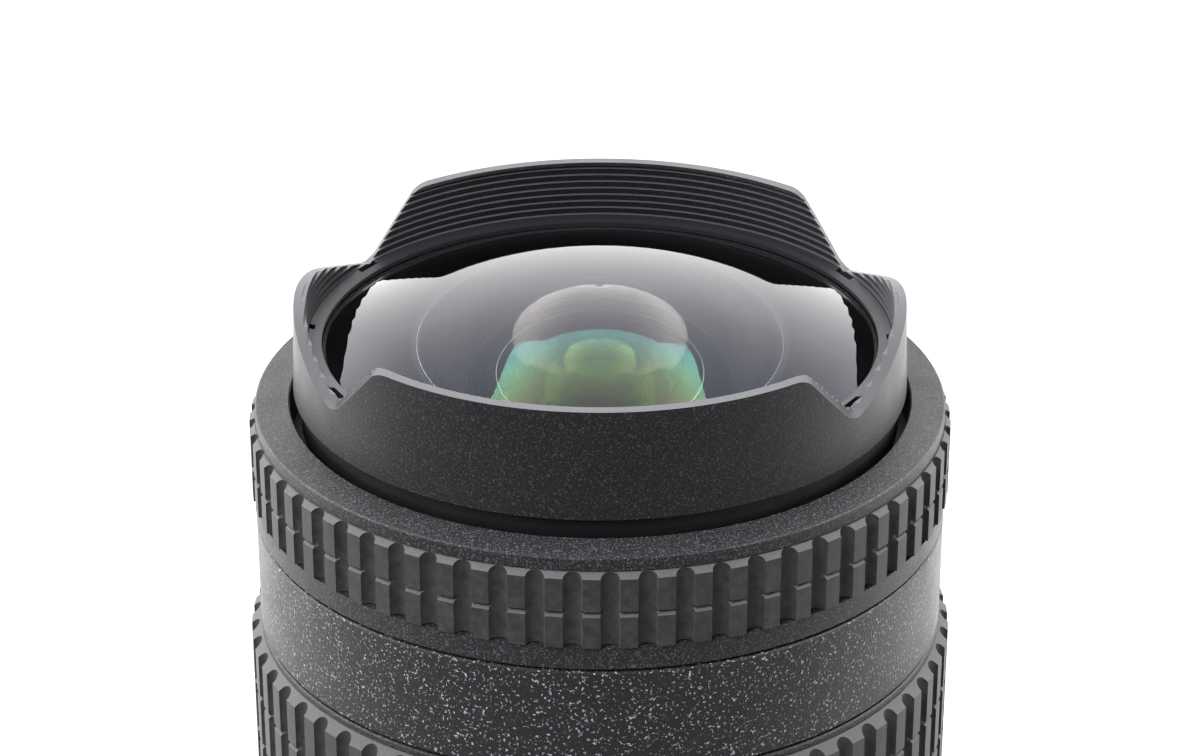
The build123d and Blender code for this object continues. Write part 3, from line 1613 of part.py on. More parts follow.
# Stop-down ring in the mount's bore, with the lever that the camera pushes and the rod to the iris
stop_ring_top_z = stop_ring_foot_z + stop_ring_height
with BuildPart() as stop_down_ring:
    ring(stop_ring_inner_r, stop_ring_seat_r - running_fit, stop_ring_foot_z, stop_ring_top_z)
    upright_rods((fork_azimuth,), rod_ring_r, rod_r, stop_ring_foot_z, rod_top_z)
    sector(lever_inner_r, lever_outer_r, lever_azimuth, lever_span, lever_end_z, stop_ring_top_z)
stop_down_ring.part.label = "stop_down_ring"
export_step(stop_down_ring.part, "parts/stop_down_ring.step")

# Rear baffle: a plate in the mount's bore with a rectangular hood round its window
baffle_top_z = baffle_seat_z + baffle_thickness
with BuildPart() as rear_baffle:
    ring(0, stop_ring_seat_r - seat_fit, baffle_seat_z, baffle_top_z)
    with BuildSketch(Plane.XY.offset(baffle_seat_z - baffle_rim_depth)) as baffle_rim:
        RectangleRounded(
            baffle_window_width + 2 * baffle_rim_wall,
            baffle_window_height + 2 * baffle_rim_wall,
            baffle_window_corner + baffle_rim_wall,
        )
    extrude(baffle_rim.sketch, amount=baffle_rim_depth + baffle_thickness / 2)
    with BuildSketch(Plane.XY.offset(baffle_seat_z - baffle_rim_depth - overrun)) as baffle_window:
        RectangleRounded(baffle_window_width, baffle_window_height, baffle_window_corner)
    extrude(
        baffle_window.sketch,
        amount=baffle_rim_depth + baffle_thickness + 2 * overrun,
        mode=Mode.SUBTRACT,
    )
    sector(
        lever_inner_r - lever_play,
        lever_outer_r + lever_play,
        lever_azimuth + iris_turn / 2,
        iris_turn + lever_span + 2 * degrees(lever_play / lever_inner_r),
        baffle_seat_z - overrun,
        baffle_top_z + overrun,
        Mode.SUBTRACT,
    )
rear_baffle.part.label = "rear_baffle"
export_step(rear_baffle.part, "parts/rear_baffle.step")

# Contact block in the throat, with its row of pins
contact_azimuths = [
    contact_azimuth + (number - (contact_count - 1) / 2) * contact_pitch for number in range(contact_count)
]
contact_foot_z = baffle_seat_z - contact_depth
contact_pin_foot_z = contact_foot_z - contact_pin_stand
with BuildPart() as contact_block:
    sector(
        contact_inner_r,
        throat_r - seat_fit,
        contact_azimuth,
        contact_span,
        contact_foot_z,
        baffle_seat_z,
    )
    upright_rods(
        contact_azimuths,
        contact_ring_r,
        contact_pin_r + seat_fit,
        contact_foot_z - overrun,
        contact_pin_foot_z + contact_pin_length + seat_fit,
        Mode.SUBTRACT,
    )
contact_block.part.label = "contact_block"
export_step(contact_block.part, "parts/contact_block.step")

with BuildPart() as contact_pins:
    upright_rods(
        contact_azimuths,
        contact_ring_r,
        contact_pin_r,
        contact_pin_foot_z,
        contact_pin_foot_z + contact_pin_length,
    )
contact_pins.part.label = "contact_pins"
export_step(contact_pins.part, "parts/contact_pins.step")

# Circuit board round the guide barrel, resting on the columns of the rear barrel
with BuildPart() as circuit_board:
    ring(board_inner_r, rear_wall_inner_r - board_edge_gap, board_z, board_z + board_thickness)
    sector(
        board_inner_r - overrun,
        sleeve_r,
        board_gap_azimuth,
        board_gap_span,
        board_z - overrun,
        board_z + overrun,
        Mode.SUBTRACT,
    )
    upright_rods(
        mount_screw_azimuths,
        mount_screw_ring_r,
        column_r + board_edge_gap,
        board_z - overrun,
        board_z + overrun,
        Mode.SUBTRACT,
    )
circuit_board.part.label = "circuit_board"
export_step(circuit_board.part, "parts/circuit_board.step")

with BuildPart() as board_chips:
    for chip_azimuth, chip_width in zip(chip_azimuths, chip_widths):
        chip_r = (board_inner_r + rear_wall_inner_r - chip_depth) / 2
        with BuildSketch(facing(chip_azimuth, chip_r, board_z + board_thickness)) as chip:
            Rectangle(chip_width, chip_height, align=(Align.CENTER, Align.MIN))
        extrude(chip.sketch, amount=chip_depth)
board_chips.part.label = "board_chips"
export_step(board_chips.part, "parts/board_chips.step")
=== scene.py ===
"""Looks of a fisheye zoom lens: a finish for every part of its frame, painted scales and a studio."""

from math import cos, pi, radians, sin, sqrt

import bmesh
import bpy
from mathutils import Matrix, Vector


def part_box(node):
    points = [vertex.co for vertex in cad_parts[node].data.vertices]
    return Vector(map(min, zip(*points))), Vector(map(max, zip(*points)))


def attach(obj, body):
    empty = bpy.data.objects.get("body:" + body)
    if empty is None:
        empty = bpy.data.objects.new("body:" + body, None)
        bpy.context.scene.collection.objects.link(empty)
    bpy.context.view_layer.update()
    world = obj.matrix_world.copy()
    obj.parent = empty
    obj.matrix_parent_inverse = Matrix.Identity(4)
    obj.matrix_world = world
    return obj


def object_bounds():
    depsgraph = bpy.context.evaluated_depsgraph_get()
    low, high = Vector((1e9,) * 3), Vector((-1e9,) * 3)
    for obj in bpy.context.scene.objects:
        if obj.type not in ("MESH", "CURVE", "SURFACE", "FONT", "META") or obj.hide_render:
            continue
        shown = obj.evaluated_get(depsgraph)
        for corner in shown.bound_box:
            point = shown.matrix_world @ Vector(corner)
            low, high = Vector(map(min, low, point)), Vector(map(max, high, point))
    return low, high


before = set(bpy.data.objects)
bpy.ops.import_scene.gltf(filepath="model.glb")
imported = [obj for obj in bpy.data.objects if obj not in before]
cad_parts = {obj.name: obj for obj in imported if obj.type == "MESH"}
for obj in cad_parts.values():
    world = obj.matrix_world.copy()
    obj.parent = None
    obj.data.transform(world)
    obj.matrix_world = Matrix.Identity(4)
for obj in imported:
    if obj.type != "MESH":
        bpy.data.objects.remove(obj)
CAD_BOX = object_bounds()

bl_info = {
    "name": "Fisheye Lens",
    "version": (1, 0, 0),
    "blender": (4, 5, 0),
    "location": "View3D > Sidebar > Lens",
    "description": "Finishes, scales and studio for a fisheye zoom lens",
    "category": "Object",
}

MM = 0.001
WHITE = "#FFFFFF"

# Azimuths on the barrel. The scales are read on the side that is the top on a camera
SCALE_AZIMUTH = radians(90)
SWITCH_AZIMUTH = radians(150)
MOUNT_SCREW_AZIMUTHS = [radians(angle) for angle in (45, 135, 225, 315)]

# Focal lengths on the zoom ring, with the ring's turn from rest at each in degrees
ZOOM_FIGURES = {"10": 0, "12": 22, "14": 40, "17": 60}
TICK_LENGTH = 2  # in widths of the painted line
SEAM_SHARE = 0.2  # of the paint's rise: letters' points closer than this are made one
CURVE_STEPS = 4  # points along each bend of a letter

# Noise of the finishes, which is counted in millimetres: patches of slightly different gloss 5 mm wide,
# grain whose size each finish gives, and the rubber's worn patches, 0.9 mm wide
CLOUDS = {"Scale": 1 / 5.0, "Detail": 2.0, "Roughness": 0.6}
GRAIN = {"Detail": 2.0, "Roughness": 0.6}
WEAR = {"Scale": 1 / 0.9, "Detail": 4.0, "Roughness": 0.6}

# How far the paint of an element's flat seat reaches up, in millimetres
SEAT_PAINT = 0.03


# Small helpers for shaders


def linear(hex_colour):
    """The linear colour of an sRGB hex value."""
    parts = [int(hex_colour[i : i + 2], 16) / 255 for i in (1, 3, 5)]
    return tuple(p / 12.92 if p <= 0.04045 else ((p + 0.055) / 1.055) ** 2.4 for p in parts) + (1.0,)


def add_node(tree, kind, values=None, links=None, **settings):
    """Adds a shader node with its own settings.

    values fills its sockets, and links joins them to other sockets or to other nodes' first live outputs.
    """
    node = tree.nodes.new(kind)
    for name, value in settings.items():
        setattr(node, name, value)
    for socket, value in (values or {}).items():
        node.inputs[socket].default_value = value
    for socket, source in (links or {}).items():
        if isinstance(source, bpy.types.Node):
            source = next(output for output in source.outputs if output.enabled)
        tree.links.new(source, node.inputs[socket])
    return node


def empty_material(name):
    """A material without nodes, and its node tree."""
    material = bpy.data.materials.new(name)
    material.use_nodes = True
    material.node_tree.nodes.clear()
    return material, material.node_tree


def place_in_mm(tree):
    """The object's own coordinates, counted in millimetres."""
    place = add_node(tree, "ShaderNodeTexCoord").outputs["Object"]
    return add_node(tree, "ShaderNodeVectorMath", {1: (1 / MM,) * 3}, {0: place}, operation="MULTIPLY")


def distance_from_axis(tree, place):
    """How far a point lies from the optical axis, in millimetres."""
    flat = add_node(tree, "ShaderNodeVectorMath", {1: (1, 1, 0)}, {0: place}, operation="MULTIPLY")
    return add_node(tree, "ShaderNodeVectorMath", links={0: flat}, operation="LENGTH")


def two_tone(tree, pattern, low, high, first, second):
    """Goes from the first colour to the second as the pattern goes from low to high."""
    share = add_node(tree, "ShaderNodeMapRange", {"From Min": low, "From Max": high}, {"Value": pattern})
    return add_node(tree, "ShaderNodeMix", {"A": first, "B": second}, {0: share}, data_type="RGBA")


def painted_top_light(tree, colour, top_light_colour, start, most):
    """Painted highlight: a lighter colour on what faces up, from a height of the surface's normal on. It
    covers at most a share.
    """
    normal = add_node(tree, "ShaderNodeNewGeometry").outputs["Normal"]
    up = add_node(tree, "ShaderNodeSeparateXYZ", links={0: normal}).outputs["Z"]
    values = {"From Min": start, "To Max": most}
    share = add_node(tree, "ShaderNodeMapRange", values, {"Value": up})
    return add_node(tree, "ShaderNodeMix", {"B": top_light_colour}, {0: share, "A": colour}, data_type="RGBA")


def finished(material, tree, pattern, depth, cloud, least, most, colour, values):
    """Ends a material with its surface: bump of a depth in millimetres, and a gloss that wanders."""
    spread = {"From Min": 0.3, "From Max": 0.7, "To Min": least, "To Max": most}
    links = {
        "Base Color": colour,
        "Roughness": add_node(tree, "ShaderNodeMapRange", spread, {"Value": cloud}),
        "Normal": add_node(tree, "ShaderNodeBump", {"Distance": depth * MM}, {"Height": pattern}),
    }
    surface = add_node(tree, "ShaderNodeBsdfPrincipled", values, links)
    add_node(tree, "ShaderNodeOutputMaterial", links={"Surface": surface})
    return material


# Finishes


def moulded_abs(name, colour, glint_colour, grit, depth, glints, roughness, top_light):
    """Black ABS, injection moulded in a spark-eroded tool: satin, with grit whose peaks catch the light.

    The given pair of grain levels is where the colour goes over to the lighter grey of painted glints on
    the peaks, and the last colour, or None, is a painted highlight on what faces up, such as ledges and
    lips.
    """
    material, tree = empty_material(name)
    place = place_in_mm(tree)
    grain = add_node(tree, "ShaderNodeTexNoise", {**GRAIN, "Scale": 1 / grit}, {"Vector": place})
    # Painted glints: the grain's peaks go over to a lighter grey
    shade = two_tone(tree, grain, *glints, colour, glint_colour)
    # Painted highlight: what faces up gets the lighter colour given, where one is given
    if top_light:
        shade = painted_top_light(tree, shade, linear(top_light), 0.7, 0.8)
    cloud = add_node(tree, "ShaderNodeTexNoise", CLOUDS, {"Vector": place})
    least, most = roughness - 0.03, roughness + 0.05
    return finished(material, tree, grain, depth, cloud, least, most, shade, {"IOR": 1.5})


def moulded_rubber(name, colour, worn_colour):
    """Black nitrile rubber, moulded: dull, a little grey in patches where hands and dirt have worn it, and
    lighter where it faces up, which is a painted highlight.
    """
    material, tree = empty_material(name)
    place = place_in_mm(tree)
    wear = add_node(tree, "ShaderNodeTexNoise", WEAR, {"Vector": place})
    worn = two_tone(tree, wear, 0.3, 0.7, colour, worn_colour)
    # Painted highlight: the grips' up-facing tops are lighter
    shade = painted_top_light(tree, worn, linear("#525254"), 0.2, 0.8)
    values = {"IOR": 1.48, "Sheen Weight": 0.12, "Sheen Roughness": 0.5, "Sheen Tint": linear("#C8C8CC")}
    grain = add_node(tree, "ShaderNodeTexNoise", {**GRAIN, "Scale": 1 / 0.22}, {"Vector": place})
    return finished(material, tree, grain, 0.03, wear, 0.5, 0.6, shade, values)


def turned_metal(name, dark, light, roughness, metallic, pitch, depth):
    """Metal turned on a lathe: fine rings round the optical axis draw the highlights out sideways."""
    material, tree = empty_material(name)
    place = place_in_mm(tree)
    height = add_node(tree, "ShaderNodeSeparateXYZ", links={0: place}).outputs["Z"]
    radius = distance_from_axis(tree, place)
    across = add_node(tree, "ShaderNodeCombineXYZ", links={"X": radius, "Y": height})
    rings = add_node(tree, "ShaderNodeTexNoise", {**GRAIN, "Scale": 1 / pitch}, {"Vector": across})
    shade = two_tone(tree, rings, 0.35, 0.65, linear(dark), linear(light))
    cloud = add_node(tree, "ShaderNodeTexNoise", CLOUDS, {"Vector": place})
    least, most = roughness - 0.04, roughness + 0.05
    return finished(material, tree, rings, depth, cloud, least, most, shade, {"Metallic": metallic})


def plain_surface(name, dark, light, roughness, metallic, size, depth):
    """A surface with slight clouding of its colour and a trace of grain."""
    material, tree = empty_material(name)
    values = {"Scale": 1 / size, "Detail": 3.0, "Roughness": 0.6}
    cloud = add_node(tree, "ShaderNodeTexNoise", values, {"Vector": place_in_mm(tree)})
    shade = two_tone(tree, cloud, 0.0, 1.0, dark, light)
    least, most = roughness - 0.03, roughness + 0.04
    return finished(material, tree, cloud, depth, cloud, least, most, shade, {"Metallic": metallic})


def coated_glass(name, tint, ior, film, coat, clear_radius, seat_height, bevel):
    """Polished optical glass: its coating tints what it reflects, and its rim and its flat seat are black.

    Its base colour is a painted reflection: it stands in for the green and blue that the coatings reflect,
    and colours what is seen through the glass.
    A ground bevel, if any, shows as a thin pale ring between the polished hollow and the seat.
    """
    material, tree = empty_material(name)
    polish = {
        # Painted reflection: the tint stands in for the colour that the coatings reflect
        "Base Color": linear(tint),
        "Roughness": 0.0,
        "IOR": ior,
        "Transmission Weight": 1.0,
        "Thin Film Thickness": film,
        "Thin Film IOR": 1.38,
        "Coat Weight": coat,
        "Coat Roughness": 0.0,
        "Coat IOR": 1.5,
    }
    glass = add_node(tree, "ShaderNodeBsdfPrincipled", polish)
    clear = add_node(tree, "ShaderNodeBsdfTransparent")
    shadow = add_node(tree, "ShaderNodeLightPath").outputs["Is Shadow Ray"]
    lit = add_node(tree, "ShaderNodeMixShader", links={0: shadow, 1: glass, 2: clear})
    frosted = {"Base Color": linear("#D5D8D8"), "Roughness": 0.45}
    ground = add_node(tree, "ShaderNodeBsdfPrincipled", frosted)
    blacking = {"Base Color": linear("#0B0B0C"), "Roughness": 0.6}
    paint = add_node(tree, "ShaderNodeBsdfPrincipled", blacking)
    place = place_in_mm(tree)
    radius = distance_from_axis(tree, place)
    height = add_node(tree, "ShaderNodeSeparateXYZ", links={0: place}).outputs["Z"]
    low = add_node(tree, "ShaderNodeMath", {1: seat_height + bevel}, {0: height}, operation="LESS_THAN")
    seat = add_node(tree, "ShaderNodeMath", {1: seat_height}, {0: height}, operation="LESS_THAN")
    rim = add_node(tree, "ShaderNodeMath", {1: clear_radius}, {0: radius}, operation="GREATER_THAN")
    black = add_node(tree, "ShaderNodeMath", links={0: rim, 1: seat}, operation="MAXIMUM")
    bevelled = add_node(tree, "ShaderNodeMixShader", links={0: low, 1: lit, 2: ground})
    surface = add_node(tree, "ShaderNodeMixShader", links={0: black, 1: bevelled, 2: paint})
    add_node(tree, "ShaderNodeOutputMaterial", links={"Surface": surface})
    return material


# Every finish of the lens by its short name, filled by the finishes operator
FINISHES = {}

# Turned metals: material, darker and lighter colour, roughness, metallic, pitch of the rings and their
# depth in millimetres. The rings are finer on the real ones and are drawn coarser to show
TURNED_METALS = {
    # Deep black with a soft grey sheen that runs round it
    "aluminium": ("black_anodised_aluminium", "#1C1C1F", "#2A2A2E", 0.36, 0.35, 0.12, 0.01),
    # The same blasted before it is anodised, so it hardly shines; its darker colour is also painted shade,
    # so that the gap round the hood looks black
    "flat": ("flat_black_anodised_aluminium_gap_shade", "#0C0C0E", "#131315", 0.5, 0.1, 0.12, 0.01),
    # Bright and cool, with long highlights round the flange
    "chrome": ("chromed_brass", "#92928F", "#A9A9A6", 0.2, 1.0, 0.08, 0.004),
    # Greyer and softer than chrome
    "steel": ("zinc_plated_steel", "#8C8C8C", "#A6A6A4", 0.3, 1.0, 0.1, 0.004),
}

# Other surfaces: material, darker and lighter colour, roughness, metallic, size of the grain and its
# depth in millimetres
PLAIN_SURFACES = {
    # Polished in the mould, so it mirrors the studio
    "gloss": ("gloss_abs", "#101011", "#141415", 0.18, 0.0, 1.0, 0.002),
    # Sprayed dull, and it swallows light
    "baffle": ("matt_black_abs", "#0C0C0D", "#101011", 0.75, 0.0, 1.0, 0.01),
    # Rolled sheet with a soft, even shine
    "lever": ("spring_steel", "#8E8F92", "#A3A4A6", 0.28, 1.0, 2.0, 0.003),
    # Sheet steel with a thin dry lubricant: dark grey, silky
    "blade": ("dry_film_steel", "#1B1B1D", "#232325", 0.42, 0.4, 0.5, 0.002),
    # Warm yellow, freshly cut
    "brass": ("machined_brass", "#B8924A", "#CDA95C", 0.26, 1.0, 0.8, 0.003),
    # Redder and brighter than the brass
    "gold": ("gold_plating", "#D9A441", "#EBBE63", 0.2, 1.0, 0.6, 0.002),
    # Green lacquer with a slight orange peel
    "board": ("solder_mask", "#0C4A2C", "#126239", 0.3, 0.0, 1.2, 0.01),
    # Dull black with the grain of its filler
    "resin": ("moulded_epoxy", "#141415", "#1D1D1F", 0.5, 0.0, 0.4, 0.006),
    # Thick, even and clean
    "red": ("filled_red_enamel", "#A81E1A", "#C22823", 0.35, 0.0, 0.6, 0.003),
}


def make_finishes(settings):
    """Makes every finish of the lens but its glass."""
    shell, glint = tuple(settings.shell_colour), tuple(settings.glint_colour)
    # The grit is about 0.1 mm on the real rings and twice that on the barrel; it is drawn coarser to show
    finishes = {
        # Satin black, with few and faint painted glints on its grain
        "body": moulded_abs("moulded_abs", shell, glint, 0.2, 0.035, (0.52, 0.74), 0.44, None),
        # A coarser tool, whose peaks show as pale painted glints
        "barrel": moulded_abs(
            "coarse_moulded_abs", linear("#202022"), linear("#939397"), 0.28, 0.08, (0.6, 0.69), 0.38, None
        ),
        # Smoother and darker, with a grey painted highlight on its up-facing lip and ribs
        "hood": moulded_abs(
            "hood_abs", linear("#18181A"), linear("#3E3E42"), 0.2, 0.025, (0.54, 0.76), 0.4, "#4C4C50"
        ),
        # Dull, softly sheened, grey where it is worn, and lighter where it faces up: a painted highlight
        "rubber": moulded_rubber(
            "nitrile_rubber", tuple(settings.rubber_colour), tuple(settings.worn_colour)
        ),
        # Off-white, rubbed into the engraved figures
        "paint": plain_surface(
            "filled_white_enamel", linear("#DCDCD8"), tuple(settings.figure_colour), 0.4, 0.0, 0.6, 0.003
        ),
    }
    for finish, values in TURNED_METALS.items():
        finishes[finish] = turned_metal(*values)
    for finish, (name, dark, light, *values) in PLAIN_SURFACES.items():
        finishes[finish] = plain_surface(name, linear(dark), linear(light), *values)
    return finishes


# Which nodes of the frame get each finish
FINISH_NODES = {
    "hood": ["petal_hood"],
    "body": ["focus_ring", "zoom_ring", "rear_barrel"],
    "barrel": ["outer_barrel"],
    "gloss": ["focus_switch"],
    "baffle": ["rear_baffle", "contact_block", "switch_plate"],
    "rubber": ["focus_grip", "zoom_grip"],
    "aluminium": [
        "guide_barrel",
        "cam_barrel",
        "focus_cam_sleeve",
        "front_ring",
        "front_spacer",
        "front_lock_ring",
        "middle_barrel",
        "middle_spacer",
        "middle_lock_ring",
        "iris_housing",
        "iris_cover",
        "iris_ring",
        "rear_group_barrel",
        "rear_spacers",
        "rear_lock_ring",
    ],
    # The front barrel's darker finish is partly painted shade, for the gap round the hood
    "flat": ["front_barrel"],
    "chrome": ["mount_bayonet"],
    "steel": ["mount_screws", "guide_screws", "focus_cam_screws", "focus_motor"],
    "lever": ["stop_down_ring"],
    "blade": [f"iris_blade_{number}" for number in range(1, 7)],
    "brass": ["front_rollers", "middle_rollers", "rear_rollers", "zoom_keys", "motor_pinion"],
    "gold": ["contact_pins"],
    "board": ["circuit_board"],
    "resin": ["board_chips"],
}

# Each element's tint, which stands in for the colour that its coatings reflect and so is a painted
# reflection, refractive index, coating thickness in nanometres, share of a second, neutral reflection,
# width of its painted rim and height of its ground bevel in millimetres, the last one only where its back
# is a painted flat seat
ELEMENTS = {
    "front_element": ("#EEF4FA", 1.62, 130, 0.9, 0.08, 0.04),
    "second_element": ("#BFE3B4", 1.85, 440, 0.8, 0.82, 0.16),
    "third_element": ("#C2E8B6", 1.80, 225, 0.0, 0.08, None),
    "fourth_element": ("#D6F0CC", 1.85, 245, 0.0, 0.08, None),
    "fifth_element": ("#CDEBC2", 1.80, 440, 0.0, 0.08, None),
    "sixth_element": ("#E6F4DE", 1.62, 225, 0.0, 0.08, None),
    "seventh_element": ("#DDF2D6", 1.80, 235, 0.0, 0.08, None),
    "eighth_element": ("#EEF6EA", 1.52, 210, 0.0, 0.08, None),
    "ninth_element": ("#EEF6EA", 1.70, 225, 0.0, 0.08, None),
    "tenth_element": ("#F2F6F2", 1.50, 130, 0.0, 0.08, None),
}


def dress(node, material):
    """Gives a node of the frame its finish."""
    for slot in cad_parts[node].material_slots:
        slot.material = material


# Small pieces of the lens's own


def finish_piece(name, shape, body, finish, smooth=False):
    """Makes an object of a mesh in the making, at the origin, gives it its finish and its body."""
    bmesh.ops.recalc_face_normals(shape, faces=shape.faces)
    for face in shape.faces:
        face.smooth = smooth
    mesh = bpy.data.meshes.new(name)
    shape.to_mesh(mesh)
    shape.free()
    piece = bpy.data.objects.new(name, mesh)
    bpy.context.scene.collection.objects.link(piece)
    mesh.materials.append(FINISHES[finish])
    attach(piece, body)
    return piece


def wrap_round(shape, radius, azimuth, height):
    """Bends a flat shape, drawn in X and Z with its depth along Y, round the barrel."""
    for vertex in shape.verts:
        across, depth, up = vertex.co
        angle = azimuth + across / radius
        vertex.co = ((radius + depth) * cos(angle), (radius + depth) * sin(angle), height + up)


def paint_words(name, words, settings, size, radius, azimuth, height, body):
    """Painted figures or letters, centred on an azimuth and read with the front of the lens up."""
    curve = bpy.data.curves.new(name, "FONT")
    curve.body = words
    curve.size = size
    curve.align_x = "CENTER"
    curve.align_y = "CENTER"
    curve.extrude = settings.paint_rise
    curve.resolution_u = CURVE_STEPS
    letters = bpy.data.objects.new(name, curve)
    mesh = letters.to_mesh()
    shape = bmesh.new()
    shape.from_mesh(mesh)
    letters.to_mesh_clear()
    bpy.data.objects.remove(letters)
    bpy.data.curves.remove(curve)
    bmesh.ops.remove_doubles(shape, verts=shape.verts, dist=SEAM_SHARE * settings.paint_rise)
    for vertex in shape.verts:
        across, up, depth = vertex.co
        vertex.co = (across, depth, up)
    wrap_round(shape, radius, azimuth, height)
    return finish_piece(name, shape, body, "paint")


def paint_bar(name, settings, radius, azimuth, low, high, body):
    """A painted upright line."""
    shape = bmesh.new()
    bmesh.ops.create_cube(shape, size=1.0)
    size = (settings.line_width, 2 * settings.paint_rise, high - low)
    bmesh.ops.scale(shape, verts=shape.verts, vec=size)
    wrap_round(shape, radius, azimuth, 0.5 * (low + high))
    return finish_piece(name, shape, body, "paint")


# The panel's values


class LensSettings(bpy.types.PropertyGroup):
    """Colours of the lens's main finishes and sizes of its own small pieces"""

    shell_colour: bpy.props.FloatVectorProperty(
        name="Shell colour",
        description="Colour of the moulded rings",
        subtype="COLOR",
        size=4,
        default=linear("#1D1D1F"),
    )
    # Painted glints: the lighter grey on the grain's peaks of the moulded rings
    glint_colour: bpy.props.FloatVectorProperty(
        name="Fleck colour",
        description="Colour of the flecks on the moulded rings",
        subtype="COLOR",
        size=4,
        default=linear("#525256"),
    )
    rubber_colour: bpy.props.FloatVectorProperty(
        name="Rubber colour",
        description="Colour of the grips",
        subtype="COLOR",
        size=4,
        default=linear("#1F1F20"),
    )
    worn_colour: bpy.props.FloatVectorProperty(
        name="Worn rubber colour",
        description="Colour of the grips where they are worn",
        subtype="COLOR",
        size=4,
        default=linear("#323234"),
    )
    figure_colour: bpy.props.FloatVectorProperty(
        name="Figure colour",
        description="Colour of the painted figures, words and lines",
        subtype="COLOR",
        size=4,
        default=linear("#EFEFEB"),
    )
    figure_height: bpy.props.FloatProperty(
        name="Figure height",
        description="Type size of the zoom figures",
        default=2.9 * MM,
        unit="LENGTH",
    )
    word_height: bpy.props.FloatProperty(
        name="Word height",
        description="Type size of the words at the switch",
        default=2.2 * MM,
        unit="LENGTH",
    )
    word_angle: bpy.props.FloatProperty(
        name="Word angle",
        description="From the switch to each word",
        default=radians(11.5),
        subtype="ANGLE",
    )
    paint_rise: bpy.props.FloatProperty(
        name="Paint rise",
        description="How far the paint stands out of the barrel",
        default=0.03 * MM,
        unit="LENGTH",
    )
    line_width: bpy.props.FloatProperty(
        name="Line width",
        description="Width of the painted lines",
        default=0.35 * MM,
        unit="LENGTH",
    )
    index_length: bpy.props.FloatProperty(
        name="Index length",
        description="Length of the zoom index",
        default=2.6 * MM,
        unit="LENGTH",
    )
    zoom_band_height: bpy.props.FloatProperty(
        name="Zoom band",
        description="Height of the zoom ring's smooth band",
        default=4.3 * MM,
        unit="LENGTH",
    )
    screw_head_radius: bpy.props.FloatProperty(
        name="Screw head radius",
        description="Radius of a mount screw's head",
        default=1.95 * MM,
        unit="LENGTH",
    )
    # A screw's cross is a matt black mark drawn on its head: painted shade of the recess
    cross_length: bpy.props.FloatProperty(
        name="Cross length",
        description="Length of a screw's cross recess",
        default=1.9 * MM,
        unit="LENGTH",
    )
    cross_width: bpy.props.FloatProperty(
        name="Cross width",
        description="Width of a screw's cross recess",
        default=0.45 * MM,
        unit="LENGTH",
    )
    cross_rise: bpy.props.FloatProperty(
        name="Cross rise",
        description="How far the drawn recess stands out",
        default=0.01 * MM,
        unit="LENGTH",
    )
    bead_radius: bpy.props.FloatProperty(
        name="Bead radius",
        description="Radius of the mount's red bead",
        default=1.1 * MM,
        unit="LENGTH",
    )
    bead_sink: bpy.props.FloatProperty(
        name="Bead sink",
        description="How far the bead's centre lies inside the barrel",
        default=0.7 * MM,
        unit="LENGTH",
    )
    bead_drop: bpy.props.FloatProperty(
        name="Bead drop",
        description="From the rear barrel's top to the bead",
        default=5.4 * MM,
        unit="LENGTH",
    )


class StudioSettings(bpy.types.PropertyGroup):
    """The studio and its camera"""

    floor_colour: bpy.props.FloatVectorProperty(
        name="Floor colour",
        description="Colour of the sweep",
        subtype="COLOR",
        size=4,
        default=linear("#F6F6F6"),
    )
    sweep_turn: bpy.props.FloatProperty(
        name="Sweep turn",
        description="How gently the sweep goes from dim to bright",
        default=0.08,
        unit="LENGTH",
    )
    sweep_dim: bpy.props.FloatProperty(
        name="Sweep dim",
        description="Light that the sweep throws back from the front",
        default=0.12,
    )
    sweep_bright: bpy.props.FloatProperty(
        name="Sweep bright",
        description="Light that the sweep throws on the lens from behind",
        default=2.3,
    )
    sweep_glow: bpy.props.FloatProperty(
        name="Sweep glow",
        description="Share of the sweep's white that takes no shadow",
        default=0.7,
        subtype="FACTOR",
    )
    focal_length: bpy.props.FloatProperty(
        name="Focal length",
        description="Focal length of the camera",
        default=106.45,
        unit="CAMERA",
    )


class LENS_OT_finishes(bpy.types.Operator):
    """Give every part of the frame its finish"""

    bl_idname = "lens.finishes"
    bl_label = "Finishes"

    def execute(self, context):
        FINISHES.update(make_finishes(context.scene.lens_settings))
        for finish, nodes in FINISH_NODES.items():
            for node in nodes:
                dress(node, FINISHES[finish])
        for node, (tint, ior, film, coat, rim, bevel) in ELEMENTS.items():
            low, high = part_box(node)
            clear = high.x / MM - rim
            seat = low.z / MM + (-SEAT_PAINT if bevel is None else SEAT_PAINT)
            dress(node, coated_glass(f"{node}_glass", tint, ior, film, coat, clear, seat, bevel or 0.0))
        return {"FINISHED"}


class LENS_OT_zoom_scale(bpy.types.Operator):
    """Paint the zoom ring's figures and the index line that they are read against"""

    bl_idname = "lens.zoom_scale"
    bl_label = "Zoom scale"

    def execute(self, context):
        settings = context.scene.lens_settings
        line = settings.line_width
        low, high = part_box("zoom_ring")
        middle = low.z + 0.5 * (settings.zoom_band_height + line)
        foot = low.z + line
        top = foot + TICK_LENGTH * line
        for figure, turn in ZOOM_FIGURES.items():
            azimuth = SCALE_AZIMUTH - radians(turn)
            name = f"zoom_figure_{figure}"
            size = settings.figure_height
            paint_words(name, figure, settings, size, high.x, azimuth, middle, "zoom_ring")
            paint_bar(f"zoom_tick_{figure}", settings, high.x, azimuth, foot, top, "zoom_ring")
        low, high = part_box("rear_barrel")
        foot = high.z - settings.index_length
        paint_bar("zoom_index", settings, high.x, SCALE_AZIMUTH, foot, high.z - line, "lens_body")
        return {"FINISHED"}


